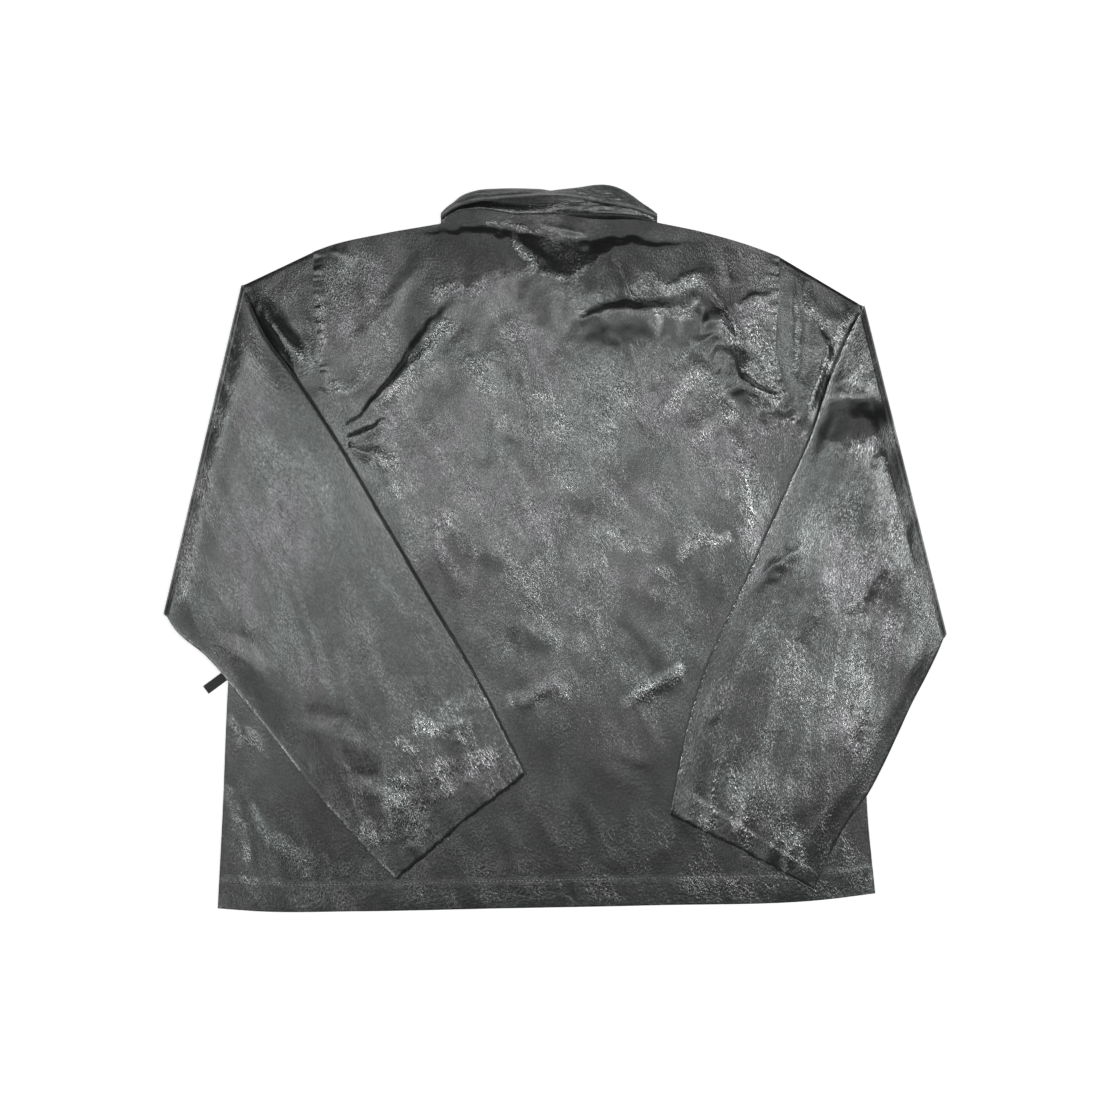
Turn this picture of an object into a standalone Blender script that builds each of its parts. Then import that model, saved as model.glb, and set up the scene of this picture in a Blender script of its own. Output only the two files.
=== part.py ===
"""Windbreaker laid face down on a flat surface, with both sleeves folded over its back.

Metres, +Z up. The surface is z = 0, +Y points to the collar and +X to the right, seen from above.
The two fronts lie on the surface, the back lies on them, and each sleeve is one flattened tube that
runs out from its armhole, turns over at a fold line and comes back across the body to its cuff.
"""

import math
from collections import namedtuple

import bmesh
import bpy
import numpy as np

# Cloth, and how its layers lie on each other
WALL = 0.0012            # shell cloth with its seam plies
COLLAR_WALL = 0.0016     # two plies and their stiffener
SEAM_GAP = 0.0003        # between pieces that are sewn together
LAYER_GAP = 0.0007       # between layers that lie on each other
TUBE_GAP = 0.0010        # between the two walls of a flattened sleeve
HALF_TUBE = WALL + TUBE_GAP / 2
TURN_RADIUS = 0.0028     # middle of the cloth where a sleeve turns back over itself
TURN_EASE = 0.080        # length over which a turned sleeve comes down to rest

# Heights of the back panel
BACK_RIM_TOP = WALL + SEAM_GAP + WALL
BACK_SWELL = 0.0022      # air that is left between back and fronts, at the middle
BODY_HALF_WIDTH = 0.330
BODY_HALF_LENGTH = 0.362
RIM_POWER = 6            # how late the swell falls away towards the edges
HEM_DEPTH = 0.026        # turned-up hem
HEM_STEP = 0.0007        # its second ply
CUFF_DEPTH = 0.023       # turned-in casing of the cuff
CUFF_STEP = 0.0006
GATHER_LENGTH = 0.080    # how far the cuff's gathers run up the sleeve
SLEEVE_SWELL = 0.0024    # air that is left in a folded sleeve
BELLY_POWER = 0.5        # how early the swell rises from a sleeve's side edges

# Back neck, which stands up off the surface where the collar pulls it
NECK_RISE = 0.0066
NECK_HALF_WIDTH = 0.118
NECK_RISE_EASE = 0.040   # over which the rise fades at the ends of the collar
NECK_MIDDLE_X = -0.006
NECK_RISE_START_Y = 0.288
NECK_RISE_END_Y = 0.334

# Front opening and collar
CENTRE_FRONT_X = -0.005
ZIP_WIDTH = 0.007
FRONT_NECK_DROP = 0.085
COLLAR_HEIGHT = 0.070
FRONT_COLLAR_END = 0.014   # its height where it meets the shoulder
TROUGH_SHARE = 0.45        # how far back from the neck seam to the roll the stand joins the leaf
TROUGH_Z = 0.0034

# Side tab of folded tape
TAPE_WIDTH = 0.0095
TAPE_THICKNESS = 0.0008
TAPE_LOOP_RADIUS = 0.0009
TAPE_LIFT = 0.0002

# Mesh steps
ARMHOLE_STEPS = 14
SIDE_STEPS = 18
SHOULDER_STEPS = 8
NECK_STEPS = 14
CAP_RINGS = 3
TURN_RINGS = 4
FOREARM_RINGS = 13
STAND_STEPS = 3
LEAF_STEPS = 7
TAPE_STEPS = 4
CURVE_SAMPLES = 400
EDGE_ANGLES = np.radians([35.0, 70.0])   # places round the soft side edge of a flattened tube
WELD_DISTANCE = 1e-7

Place = namedtuple("Place", "x y")
Section = namedtuple("Section", "over_x over_y under_x under_y")
Fold = namedtuple("Fold", "x0 y0 x1 y1 height width")
CollarCut = namedtuple("CollarCut", "x edge_y edge_z roll_y roll_z")
Sleeve = namedtuple("Sleeve", "armhole fold forearm folds gather_height outward")
Finish = namedtuple("Finish", "name colour roughness metallic")

# Cut edges of the body, seen from above
SHOULDER_LEFT = [Place(-0.241, 0.297), Place(-0.224, 0.303), Place(-0.171, 0.315), Place(-0.114, 0.325)]
SHOULDER_RIGHT = [Place(0.102, 0.326), Place(0.154, 0.315), Place(0.195, 0.303), Place(0.224, 0.292)]
NECK = [
    Place(-0.114, 0.325), Place(-0.103, 0.335), Place(-0.083, 0.339), Place(-0.039, 0.334),
    Place(0.004, 0.334), Place(0.043, 0.330), Place(0.085, 0.329), Place(0.102, 0.326),
]
ARMHOLE_LEFT = [
    Place(-0.241, 0.297), Place(-0.241, 0.249), Place(-0.236, 0.194), Place(-0.236, 0.160),
    Place(-0.252, 0.130), Place(-0.290, 0.070), Place(-0.317, 0.001),
]
ARMHOLE_RIGHT = [
    Place(0.224, 0.292), Place(0.223, 0.249), Place(0.221, 0.194), Place(0.230, 0.159),
    Place(0.247, 0.126), Place(0.280, 0.065), Place(0.305, -0.011),
]
SIDE_LEFT = [Place(-0.317, 0.001), Place(-0.327, -0.141), Place(-0.332, -0.261), Place(-0.337, -0.359)]
SIDE_RIGHT = [Place(0.305, -0.011), Place(0.310, -0.151), Place(0.312, -0.261), Place(0.320, -0.344)]
HEM = [
    Place(-0.337, -0.359), Place(-0.296, -0.362), Place(-0.198, -0.362), Place(-0.052, -0.359),
    Place(0.096, -0.356), Place(0.272, -0.350), Place(0.320, -0.344),
]

# Largest folds of the back: ridges from one end to the other, soft over their width
BACK_FOLDS = [
    Fold(-0.190, 0.143, -0.105, 0.246, 0.0042, 0.015),
    Fold(-0.218, 0.180, -0.140, 0.285, 0.0026, 0.016),
    Fold(-0.160, 0.304, -0.045, 0.302, 0.0036, 0.016),
    Fold(-0.045, 0.302, -0.012, 0.267, 0.0042, 0.016),
    Fold(-0.012, 0.267, 0.024, 0.269, 0.0046, 0.016),
    Fold(0.024, 0.269, 0.075, 0.299, 0.0042, 0.016),
    Fold(0.075, 0.299, 0.125, 0.301, 0.0034, 0.016),
    Fold(0.028, 0.232, 0.105, 0.250, 0.0036, 0.014),
    Fold(0.140, 0.236, 0.186, 0.180, 0.0040, 0.015),
    Fold(0.186, 0.180, 0.236, 0.148, 0.0032, 0.014),
    Fold(0.176, 0.108, 0.200, 0.028, 0.0032, 0.016),
    Fold(0.086, 0.128, 0.150, 0.188, 0.0026, 0.016),
    Fold(-0.045, 0.190, -0.020, 0.060, 0.0022, 0.020),
    Fold(0.074, -0.146, 0.128, -0.118, 0.0022, 0.014),
]

# Overarm and underarm ends of each section of a sleeve, from the turn to the cuff
FOREARM_LEFT = [
    Section(-0.312, 0.264, -0.389, -0.063),
    Section(-0.289, 0.214, -0.378, -0.081),
    Section(-0.254, 0.166, -0.349, -0.106),
    Section(-0.211, 0.100, -0.319, -0.140),
    Section(-0.170, 0.030, -0.280, -0.188),
    Section(-0.123, -0.050, -0.239, -0.241),
    Section(-0.081, -0.121, -0.205, -0.280),
    Section(-0.028, -0.224, -0.158, -0.330),
]
FOREARM_RIGHT = [
    Section(0.308, 0.243, 0.389, -0.083),
    Section(0.291, 0.210, 0.384, -0.096),
    Section(0.275, 0.172, 0.370, -0.126),
    Section(0.255, 0.113, 0.356, -0.153),
    Section(0.229, 0.055, 0.341, -0.186),
    Section(0.197, -0.016, 0.327, -0.216),
    Section(0.167, -0.079, 0.311, -0.246),
    Section(0.140, -0.148, 0.291, -0.274),
    Section(0.114, -0.265, 0.258, -0.340),
]
SLEEVE_FOLDS_LEFT = [
    Fold(-0.292, -0.170, -0.190, -0.178, 0.0020, 0.016),
    Fold(-0.245, -0.236, -0.150, -0.236, 0.0020, 0.014),
    Fold(-0.350, -0.080, -0.270, -0.120, 0.0016, 0.018),
]
SLEEVE_FOLDS_RIGHT = [
    Fold(0.262, 0.152, 0.335, 0.150, 0.0030, 0.014),
    Fold(0.206, -0.024, 0.250, 0.012, 0.0020, 0.014),
    Fold(0.300, -0.150, 0.330, -0.010, 0.0020, 0.018),
]
LEFT = Sleeve(
    ARMHOLE_LEFT, (Place(-0.313, 0.264), Place(-0.391, -0.065)), FOREARM_LEFT, SLEEVE_FOLDS_LEFT,
    gather_height=0.0006, outward=-1,
)
RIGHT = Sleeve(
    ARMHOLE_RIGHT, (Place(0.309, 0.243), Place(0.391, -0.085)), FOREARM_RIGHT, SLEEVE_FOLDS_RIGHT,
    gather_height=0.0014, outward=1,
)

# Cuts across the back of the collar: the free edge of the leaf, and the roll where it turns over
COLLAR_CUTS = [
    CollarCut(-0.114, 0.3300, 0.0085, 0.3350, 0.0060),
    CollarCut(-0.109, 0.3330, 0.0110, 0.3400, 0.0070),
    CollarCut(-0.085, 0.3430, 0.0170, 0.3555, 0.0090),
    CollarCut(-0.055, 0.3475, 0.0210, 0.3590, 0.0100),
    CollarCut(-0.025, 0.3490, 0.0230, 0.3590, 0.0110),
    CollarCut(-0.005, 0.3490, 0.0230, 0.3560, 0.0110),
    CollarCut(0.025, 0.3465, 0.0220, 0.3606, 0.0110),
    CollarCut(0.050, 0.3435, 0.0200, 0.3628, 0.0100),
    CollarCut(0.075, 0.3400, 0.0160, 0.3540, 0.0090),
    CollarCut(0.096, 0.3330, 0.0110, 0.3400, 0.0070),
    CollarCut(0.102, 0.3310, 0.0085, 0.3355, 0.0060),
]

TAB_TIP = Place(-0.349, -0.141)
TAB_ROOT_Y = -0.124

SHELL = Finish("shell_nylon", (0.105, 0.110, 0.110, 1.0), roughness=0.36, metallic=0.35)
TAPE = Finish("ribbed_tape", (0.018, 0.021, 0.021, 1.0), roughness=0.80, metallic=0.0)
ZIP = Finish("zip_tape", (0.030, 0.032, 0.033, 1.0), roughness=0.60, metallic=0.0)


def clear_scene():
    for old in list(bpy.data.objects):
        bpy.data.objects.remove(old)


def make_material(finish):
    material = bpy.data.materials.new(finish.name)
    material.use_nodes = True
    shader = material.node_tree.nodes["Principled BSDF"]
    shader.inputs["Base Color"].default_value = finish.colour
    shader.inputs["Roughness"].default_value = finish.roughness
    shader.inputs["Metallic"].default_value = finish.metallic
    return material


def smooth_step(t):
    t = np.clip(t, 0.0, 1.0)
    return t * t * (3 - 2 * t)


def curve_through(places, steps):
    """Points spaced evenly along the smooth curve through the places."""
    knots = np.array(places, float)
    along = np.concatenate([[0.0], np.cumsum(np.linalg.norm(np.diff(knots, axis=0), axis=1))])
    slopes = np.gradient(knots, along, axis=0)
    at = np.linspace(0.0, along[-1], CURVE_SAMPLES)
    piece = np.clip(np.searchsorted(along, at, side="right") - 1, 0, len(along) - 2)
    span = (along[piece + 1] - along[piece])[:, None]
    t = ((at - along[piece])[:, None]) / span
    fine = (
        (2 * t**3 - 3 * t**2 + 1) * knots[piece]
        + (t**3 - 2 * t**2 + t) * span * slopes[piece]
        + (3 * t**2 - 2 * t**3) * knots[piece + 1]
        + (t**3 - t**2) * span * slopes[piece + 1]
    )
    run = np.concatenate([[0.0], np.cumsum(np.linalg.norm(np.diff(fine, axis=0), axis=1))])
    wanted = np.linspace(0.0, run[-1], steps + 1)
    return np.stack([np.interp(wanted, run, column) for column in fine.T], axis=1)


def joined(*runs):
    """One run of points from several that meet end to end."""
    return np.concatenate([runs[0]] + [run[1:] for run in runs[1:]])


def fold_lift(plan, folds):
    """Height that the folds add at each point of the plan."""
    lift = np.zeros(plan.shape[:-1])
    for fold in folds:
        start = np.array([fold.x0, fold.y0])
        run = np.array([fold.x1, fold.y1]) - start
        t = np.clip(((plan - start) @ run) / (run @ run), 0.0, 1.0)
        off = np.linalg.norm(plan - start - t[..., None] * run, axis=-1)
        lift = np.maximum(lift, fold.height * np.exp(-((off / fold.width) ** 2)))
    return lift


def neck_rise(plan):
    """How far the collar lifts the top of the back."""
    from_end = NECK_HALF_WIDTH - np.abs(plan[..., 0] - NECK_MIDDLE_X)
    above = (plan[..., 1] - NECK_RISE_START_Y) / (NECK_RISE_END_Y - NECK_RISE_START_Y)
    return NECK_RISE * smooth_step(from_end / NECK_RISE_EASE) * smooth_step(above)


def back_top(plan):
    """Height of the back's outer side."""
    across = np.clip(np.abs(plan[..., 0]) / BODY_HALF_WIDTH, 0.0, 1.0)
    down = np.clip(np.abs(plan[..., 1]) / BODY_HALF_LENGTH, 0.0, 1.0)
    middle = (1 - across**RIM_POWER) * (1 - down**RIM_POWER)
    swell = (BACK_SWELL + fold_lift(plan, BACK_FOLDS)) * middle
    return BACK_RIM_TOP + swell + neck_rise(plan)


def coons_grid(top, bottom, left, right):
    """Plan points that fill four edges meeting at their ends, a row for each point of the sides."""
    u = np.linspace(0.0, 1.0, len(top))[None, :, None]
    v = np.linspace(0.0, 1.0, len(left))[:, None, None]
    between_ends = (1 - v) * top[None] + v * bottom[None]
    between_sides = (1 - u) * left[:, None] + u * right[:, None]
    corners = (1 - v) * ((1 - u) * top[0] + u * top[-1]) + v * ((1 - u) * bottom[0] + u * bottom[-1])
    return between_ends + between_sides - corners


def with_height(plan, height):
    return np.concatenate([plan, np.broadcast_to(height, plan.shape[:-1])[..., None]], axis=-1)


def sheet_object(name, rows, material, thickness, closed=False):
    """A cloth wall whose outer side runs through the rows of points; closed rows make a tube."""
    ring_count, point_count = rows.shape[:2]
    if closed:
        rows = np.concatenate([rows, rows[:, :1]], axis=1)
        point_count += 1
    mesh = bpy.data.meshes.new(name)
    shape = bmesh.new()
    bmesh.ops.create_grid(shape, x_segments=point_count - 1, y_segments=ring_count - 1, size=0.5)
    for vertex in shape.verts:
        column = round((vertex.co.x + 0.5) * (point_count - 1))
        row = round((0.5 - vertex.co.y) * (ring_count - 1))
        vertex.co = rows[row, column]
    if closed:
        bmesh.ops.remove_doubles(shape, verts=shape.verts, dist=WELD_DISTANCE)
        bmesh.ops.recalc_face_normals(shape, faces=shape.faces)
    shape.to_mesh(mesh)
    shape.free()
    mesh.shade_smooth()
    mesh.materials.append(material)
    sheet = bpy.data.objects.new(name, mesh)
    wall = sheet.modifiers.new("Wall", "SOLIDIFY")
    wall.thickness = thickness
    wall.offset = -1.0
    wall.use_even_offset = True
    return sheet


def plate_object(name, outline, material, thickness):
    """A flat piece of cloth lying on the surface, from its outline."""
    curve = bpy.data.curves.new(name, "CURVE")
    curve.dimensions = "2D"
    curve.fill_mode = "BOTH"
    curve.extrude = thickness / 2
    spline = curve.splines.new("POLY")
    spline.points.add(len(outline) - 1)
    for point, place in zip(spline.points, outline):
        point.co = (place[0], place[1], 0.0, 1.0)
    spline.use_cyclic_u = True
    curve.materials.append(material)
    plate = bpy.data.objects.new(name, curve)
    plate.location.z = thickness / 2
    return plate


def body_edges():
    """The four edges of the body, each as points that the neighbouring pieces share."""
    return {
        "shoulder_left": curve_through(SHOULDER_LEFT, SHOULDER_STEPS),
        "neck": curve_through(NECK, NECK_STEPS),
        "shoulder_right": curve_through(SHOULDER_RIGHT, SHOULDER_STEPS),
        "armhole_left": curve_through(ARMHOLE_LEFT, ARMHOLE_STEPS),
        "armhole_right": curve_through(ARMHOLE_RIGHT, ARMHOLE_STEPS),
        "side_left": curve_through(SIDE_LEFT, SIDE_STEPS),
        "side_right": curve_through(SIDE_RIGHT, SIDE_STEPS),
        "hem": curve_through(HEM, 2 * SHOULDER_STEPS + NECK_STEPS),
    }


def make_back(edges, material):
    plan = coons_grid(
        joined(edges["shoulder_left"], edges["neck"], edges["shoulder_right"]),
        edges["hem"],
        joined(edges["armhole_left"], edges["side_left"]),
        joined(edges["armhole_right"], edges["side_right"]),
    )
    above_hem = plan[..., 1] - plan[-1:, :, 1]
    hem_ply = HEM_STEP * (1 - smooth_step((above_hem - HEM_DEPTH) / SEAM_GAP))
    return sheet_object("back", with_height(plan, back_top(plan) + hem_ply), material, WALL)


def front_neckline(neck_point, centre_x):
    """Front neck seam, from the shoulder to the zip."""
    drop = np.linspace(0.0, math.pi / 2, NECK_STEPS // 2 + 1)
    low_y = neck_point[1] - FRONT_NECK_DROP
    x = centre_x + (neck_point[0] - centre_x) * np.cos(drop)
    y = neck_point[1] + (low_y - neck_point[1]) * np.sin(drop)
    return np.stack([x, y], axis=1)


def make_front(side, edges, material):
    """One front: shoulder, armhole, side and hem as on the back, and its own lower neck."""
    sign = -1 if side == "left" else 1
    zip_edge_x = CENTRE_FRONT_X + sign * (ZIP_WIDTH / 2 + SEAM_GAP)
    hem = edges["hem"]
    hem_part = hem[hem[:, 0] * sign > zip_edge_x * sign]
    shoulder = edges["shoulder_" + side]
    if side == "right":
        shoulder = shoulder[::-1]
        hem_part = hem_part[::-1]
    neck_point = shoulder[-1]
    centre_hem = np.array([[zip_edge_x, np.interp(zip_edge_x, hem[:, 0], hem[:, 1])]])
    outline = np.concatenate([
        shoulder,
        front_neckline(neck_point, zip_edge_x)[1:],
        centre_hem,
        hem_part[::-1],
        edges["side_" + side][::-1][1:],
        edges["armhole_" + side][::-1][1:-1],
    ])
    return plate_object("front_" + side, outline, material, WALL)


def make_front_collar(side, edges, material):
    """One half of the collar's front, lying flat beyond the front neck seam."""
    sign = -1 if side == "left" else 1
    zip_edge_x = CENTRE_FRONT_X + sign * (ZIP_WIDTH / 2 + SEAM_GAP)
    neck_point = edges["neck"][0] if side == "left" else edges["neck"][-1]
    seam = front_neckline(neck_point, zip_edge_x)
    lower = seam[1:] + np.array([0.0, 2 * SEAM_GAP])
    rise = np.linspace(FRONT_COLLAR_END, COLLAR_HEIGHT, len(lower))[:, None]
    upper = lower + rise * np.array([0.0, 1.0])
    outline = np.concatenate([lower, upper[::-1]])
    return plate_object("collar_front_" + side, outline, material, WALL)


def make_zip(edges, material):
    """The closed front zip, a strip between the fronts and the collar's two halves."""
    hem = edges["hem"]
    top_y = NECK[0].y - FRONT_NECK_DROP + COLLAR_HEIGHT
    left_x = CENTRE_FRONT_X - ZIP_WIDTH / 2
    right_x = CENTRE_FRONT_X + ZIP_WIDTH / 2
    bottom = [(x, np.interp(x, hem[:, 0], hem[:, 1])) for x in (left_x, right_x)]
    outline = np.array([bottom[0], bottom[1], (right_x, top_y), (left_x, top_y)])
    return plate_object("front_zip", outline, material, WALL)


def ring_points(section, half):
    """Places round a flattened ring: plan, height off its middle and share along the section."""
    inner = np.arange(1, ARMHOLE_STEPS)
    length = np.linalg.norm(section[-1] - section[0])
    near = half * (1 - np.cos(EDGE_ANGLES)) / length
    off_near = half * np.sin(EDGE_ANGLES)
    along = np.concatenate([near, inner / ARMHOLE_STEPS, 1 - near[::-1]])
    off = np.concatenate([off_near, np.full(len(inner), half), off_near[::-1]])
    along = np.concatenate([[0.0], along, [1.0], along[::-1]])
    off = np.concatenate([[0.0], off, [0.0], -off[::-1]])
    stations = np.linspace(0.0, 1.0, ARMHOLE_STEPS + 1)
    plan = np.stack([np.interp(along, stations, section[:, axis]) for axis in (0, 1)], axis=1)
    return plan, off, along


def straight_section(start, end):
    share = np.linspace(0.0, 1.0, ARMHOLE_STEPS + 1)[:, None]
    return (1 - share) * np.array(start) + share * np.array(end)


def turn_outward(sleeve):
    start, end = (np.array(place) for place in sleeve.fold)
    run = (end - start) / np.linalg.norm(end - start)
    across = np.array([run[1], -run[0]])
    return across * math.copysign(1.0, across[0] * sleeve.outward)


def turn_line(sleeve):
    """Middle of the turn, inside the fold line that shows by the cloth's own half thickness."""
    start, end = (np.array(place) for place in sleeve.fold)
    inset = TURN_RADIUS + HALF_TUBE
    run = (end - start) / np.linalg.norm(end - start)
    outward = turn_outward(sleeve)
    return straight_section(start - inset * outward + inset * run, end - inset * outward - inset * run)


def cap_rings(sleeve):
    """Rings from the armhole seam to the start of the turn, flat on the surface."""
    armhole = curve_through(sleeve.armhole, ARMHOLE_STEPS)
    fold = turn_line(sleeve)
    seam_share = SEAM_GAP / np.linalg.norm(fold - armhole, axis=1).min()
    rings = []
    for share in np.linspace(2 * seam_share, 1.0, CAP_RINGS + 1):
        plan, off, _ = ring_points((1 - share) * armhole + share * fold, HALF_TUBE)
        rings.append(with_height(plan, HALF_TUBE + off))
    return rings


def turn_rings(sleeve):
    """Rings that carry the tube up and over at the fold line."""
    plan, off, _ = ring_points(turn_line(sleeve), HALF_TUBE)
    outward = turn_outward(sleeve)
    rings = []
    for angle in np.linspace(0.0, math.pi, TURN_RINGS + 2)[1:-1]:
        sideways = TURN_RADIUS * math.sin(angle) - off * math.sin(angle)
        height = HALF_TUBE + TURN_RADIUS * (1 - math.cos(angle)) + off * math.cos(angle)
        rings.append(with_height(plan + sideways[:, None] * outward, height))
    return rings


def forearm_rings(sleeve):
    """Rings from the turn to the cuff, lying on the back and on the sleeve's own cap."""
    table = np.array(sleeve.forearm, float)
    over = curve_through(table[:, 0:2], FOREARM_RINGS)
    under = curve_through(table[:, 2:4], FOREARM_RINGS)
    turned = turn_line(sleeve)
    over[0], under[0] = turned[0], turned[-1]
    turned_middle = HALF_TUBE + 2 * TURN_RADIUS
    cap_top = 2 * HALF_TUBE
    rings = []
    for start, end in zip(over, under):
        plan, off, along = ring_points(straight_section(start, end), HALF_TUBE)
        from_turn = np.linalg.norm((start + end) / 2 - turned.mean(axis=0))
        to_cuff = np.linalg.norm((start + end) / 2 - (over[-1] + under[-1]) / 2)
        rest = np.maximum(back_top(plan), cap_top) + LAYER_GAP + HALF_TUBE
        settle = smooth_step(from_turn / TURN_EASE)
        middle = (1 - settle) * np.maximum(turned_middle, rest) + settle * rest
        upper_side = off < 0
        belly = np.sin(math.pi * along) ** BELLY_POWER
        air = SLEEVE_SWELL * settle * belly * smooth_step(to_cuff / GATHER_LENGTH)
        on_gather = np.round(along * ARMHOLE_STEPS) % 2 == 1
        gather = sleeve.gather_height * on_gather * (1 - smooth_step(to_cuff / GATHER_LENGTH))
        casing = CUFF_STEP * belly * (to_cuff < CUFF_DEPTH)
        lift = upper_side * (air + gather + casing + settle * fold_lift(plan, sleeve.folds) * belly)
        rings.append(with_height(plan, middle - off + lift))
    return rings


def make_sleeve(name, sleeve, material):
    rings = cap_rings(sleeve) + turn_rings(sleeve) + forearm_rings(sleeve)
    return sheet_object(name, np.array(rings), material, WALL, closed=True)


def collar_cut(x):
    """The collar's cut at a place across, read from its table."""
    places, *columns = np.array(COLLAR_CUTS, float).T
    return CollarCut(x, *(np.interp(x, places, column) for column in columns))


def collar_trough(neck_y, cut):
    """Where the stand meets the leaf, low behind the neck seam."""
    return neck_y + TROUGH_SHARE * (cut.roll_y - neck_y), TROUGH_Z


def profile_rows(cuts, steps):
    """Rows along the collar through the smooth profile of each of its cuts."""
    profiles = [curve_through(knots, steps) for _, knots in cuts]
    across = [np.full((steps + 1, 1), x) for x, _ in cuts]
    points = [np.concatenate(pair, axis=1) for pair in zip(across, profiles)]
    return np.array(points).transpose(1, 0, 2)


def make_stand(edges, material):
    """The collar stand, from the raised neck seam down behind it."""
    neck = edges["neck"]
    slant = np.hypot(1.0, np.gradient(neck[:, 1], neck[:, 0]))
    cuts = []
    for place, stretch in zip(neck, slant):
        trough_y, trough_z = collar_trough(place[1], collar_cut(place[0]))
        top_z = float(back_top(place))
        slope = math.atan2(top_z - trough_z, trough_y - place[1])
        foot_y = place[1] + (2 * SEAM_GAP + WALL * math.sin(slope)) * stretch
        cuts.append((place[0], [(trough_y, trough_z), (foot_y, top_z)]))
    return sheet_object("collar_stand", profile_rows(cuts, STAND_STEPS), material, WALL)


def make_leaf(edges, material):
    """The collar leaf, from its seam on the stand round the roll and back to its free edge."""
    cuts = []
    for place in edges["neck"]:
        cut = collar_cut(place[0])
        trough_y, trough_z = collar_trough(place[1], cut)
        cuts.append((place[0], [
            (trough_y + SEAM_GAP + COLLAR_WALL / 2, trough_z),
            (cut.roll_y, cut.roll_z),
            (cut.edge_y, cut.edge_z),
        ]))
    return sheet_object("collar_leaf", profile_rows(cuts, LEAF_STEPS), material, COLLAR_WALL)


def make_side_tab(edges, material):
    """A short loop of tape that is caught in the left side seam and lies on the surface."""
    side = edges["side_left"]
    root_x = np.interp(-TAB_ROOT_Y, -side[:, 1], side[:, 0])
    root = np.array([root_x, TAB_ROOT_Y])
    run = np.array(TAB_TIP) - root
    length = np.linalg.norm(run)
    run = run / length
    across = np.array([-run[1], run[0]])
    low = TAPE_LIFT + TAPE_THICKNESS
    straight = np.linspace(0.0, length - TAPE_LOOP_RADIUS, TAPE_STEPS + 1)
    turn = np.linspace(-math.pi / 2, math.pi / 2, TAPE_STEPS + 1)[1:-1]
    far = np.concatenate([straight, straight[-1] + TAPE_LOOP_RADIUS * np.cos(turn), straight[::-1]])
    height = np.concatenate([
        np.full(len(straight), low),
        low + TAPE_LOOP_RADIUS * (1 + np.sin(turn)),
        np.full(len(straight), low + 2 * TAPE_LOOP_RADIUS),
    ])
    rows = []
    for shift in (-0.5, 0.5):
        edge = root + shift * TAPE_WIDTH * across
        seam_x = np.interp(-edge[1], -side[:, 1], side[:, 0]) - 2 * SEAM_GAP
        start = (seam_x - edge[0]) / run[0]
        reach = np.maximum(far, start)
        plan = edge + reach[:, None] * run
        rows.append(with_height(plan, height))
    return sheet_object("side_tab", np.array(rows[::-1]), material, TAPE_THICKNESS)


def main():
    clear_scene()
    shell = make_material(SHELL)
    tape = make_material(TAPE)
    zip_tape = make_material(ZIP)
    edges = body_edges()
    pieces = [
        make_back(edges, shell),
        make_front("left", edges, shell),
        make_front("right", edges, shell),
        make_front_collar("left", edges, shell),
        make_front_collar("right", edges, shell),
        make_zip(edges, zip_tape),
        make_sleeve("sleeve_left", LEFT, shell),
        make_sleeve("sleeve_right", RIGHT, shell),
        make_stand(edges, shell),
        make_leaf(edges, shell),
        make_side_tab(edges, tape),
    ]
    collection = bpy.data.collections.new("windbreaker")
    bpy.context.scene.collection.children.link(collection)
    for piece in pieces:
        collection.objects.link(piece)


main()
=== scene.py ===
import math

import bpy
import numpy as np
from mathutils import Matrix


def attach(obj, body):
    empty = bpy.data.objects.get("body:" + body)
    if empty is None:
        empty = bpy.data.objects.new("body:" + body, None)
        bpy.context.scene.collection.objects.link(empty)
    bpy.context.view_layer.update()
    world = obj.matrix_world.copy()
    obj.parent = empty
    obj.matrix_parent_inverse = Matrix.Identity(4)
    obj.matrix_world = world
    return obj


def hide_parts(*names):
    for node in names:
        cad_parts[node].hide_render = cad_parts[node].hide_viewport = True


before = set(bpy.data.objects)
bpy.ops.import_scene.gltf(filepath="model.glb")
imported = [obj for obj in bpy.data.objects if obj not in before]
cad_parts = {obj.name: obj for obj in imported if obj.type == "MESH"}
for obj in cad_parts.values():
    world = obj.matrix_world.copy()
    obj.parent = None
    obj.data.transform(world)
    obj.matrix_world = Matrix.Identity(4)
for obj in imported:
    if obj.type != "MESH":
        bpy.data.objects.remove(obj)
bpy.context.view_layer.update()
mm = 0.001

# the cloth's own sizes, as the solids have them, and how its noise, creases and patches are shaped
cloth = {
    "wall": 1.2 * mm,
    "collarWall": 1.6 * mm,
    "standWall": 0.8 * mm,
    "seamGap": 0.3 * mm,
    "layerGap": 0.7 * mm,
    "tubeGap": 1.0 * mm,
    "innerStep": 3,      # the hidden side of a wall has every third point
    "sharpAngle": math.radians(62.0),
    "curveSteps": 6,      # fine steps for each wanted one on a smooth curve
    "noiseCells": 61,
    "crumpleWarp": (1.7, 0.55, 20),      # size and reach beside the crumple's size, and seed step
    "crumplePower": 3,
    "creaseSteps": 5,      # between two places of a crease
    "creaseCrest": 0.02,      # how round its crest is
    "creaseEnds": 0.6,      # power of the fall at its two ends
    "facetSteps": 240,
    "plainShare": 0.1,      # how crumpled the wall is where no patch lies
    "patchWarps": ((26 * mm, 7 * mm, 35), (8 * mm, 2.5 * mm, 37)),      # size, reach and seed
    "crispReach": 24,      # patches up to this reach end crisply
    "patchPowers": (4, 2),      # crisp and soft
}
halfTube = cloth["wall"] + cloth["tubeGap"] / 2

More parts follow.
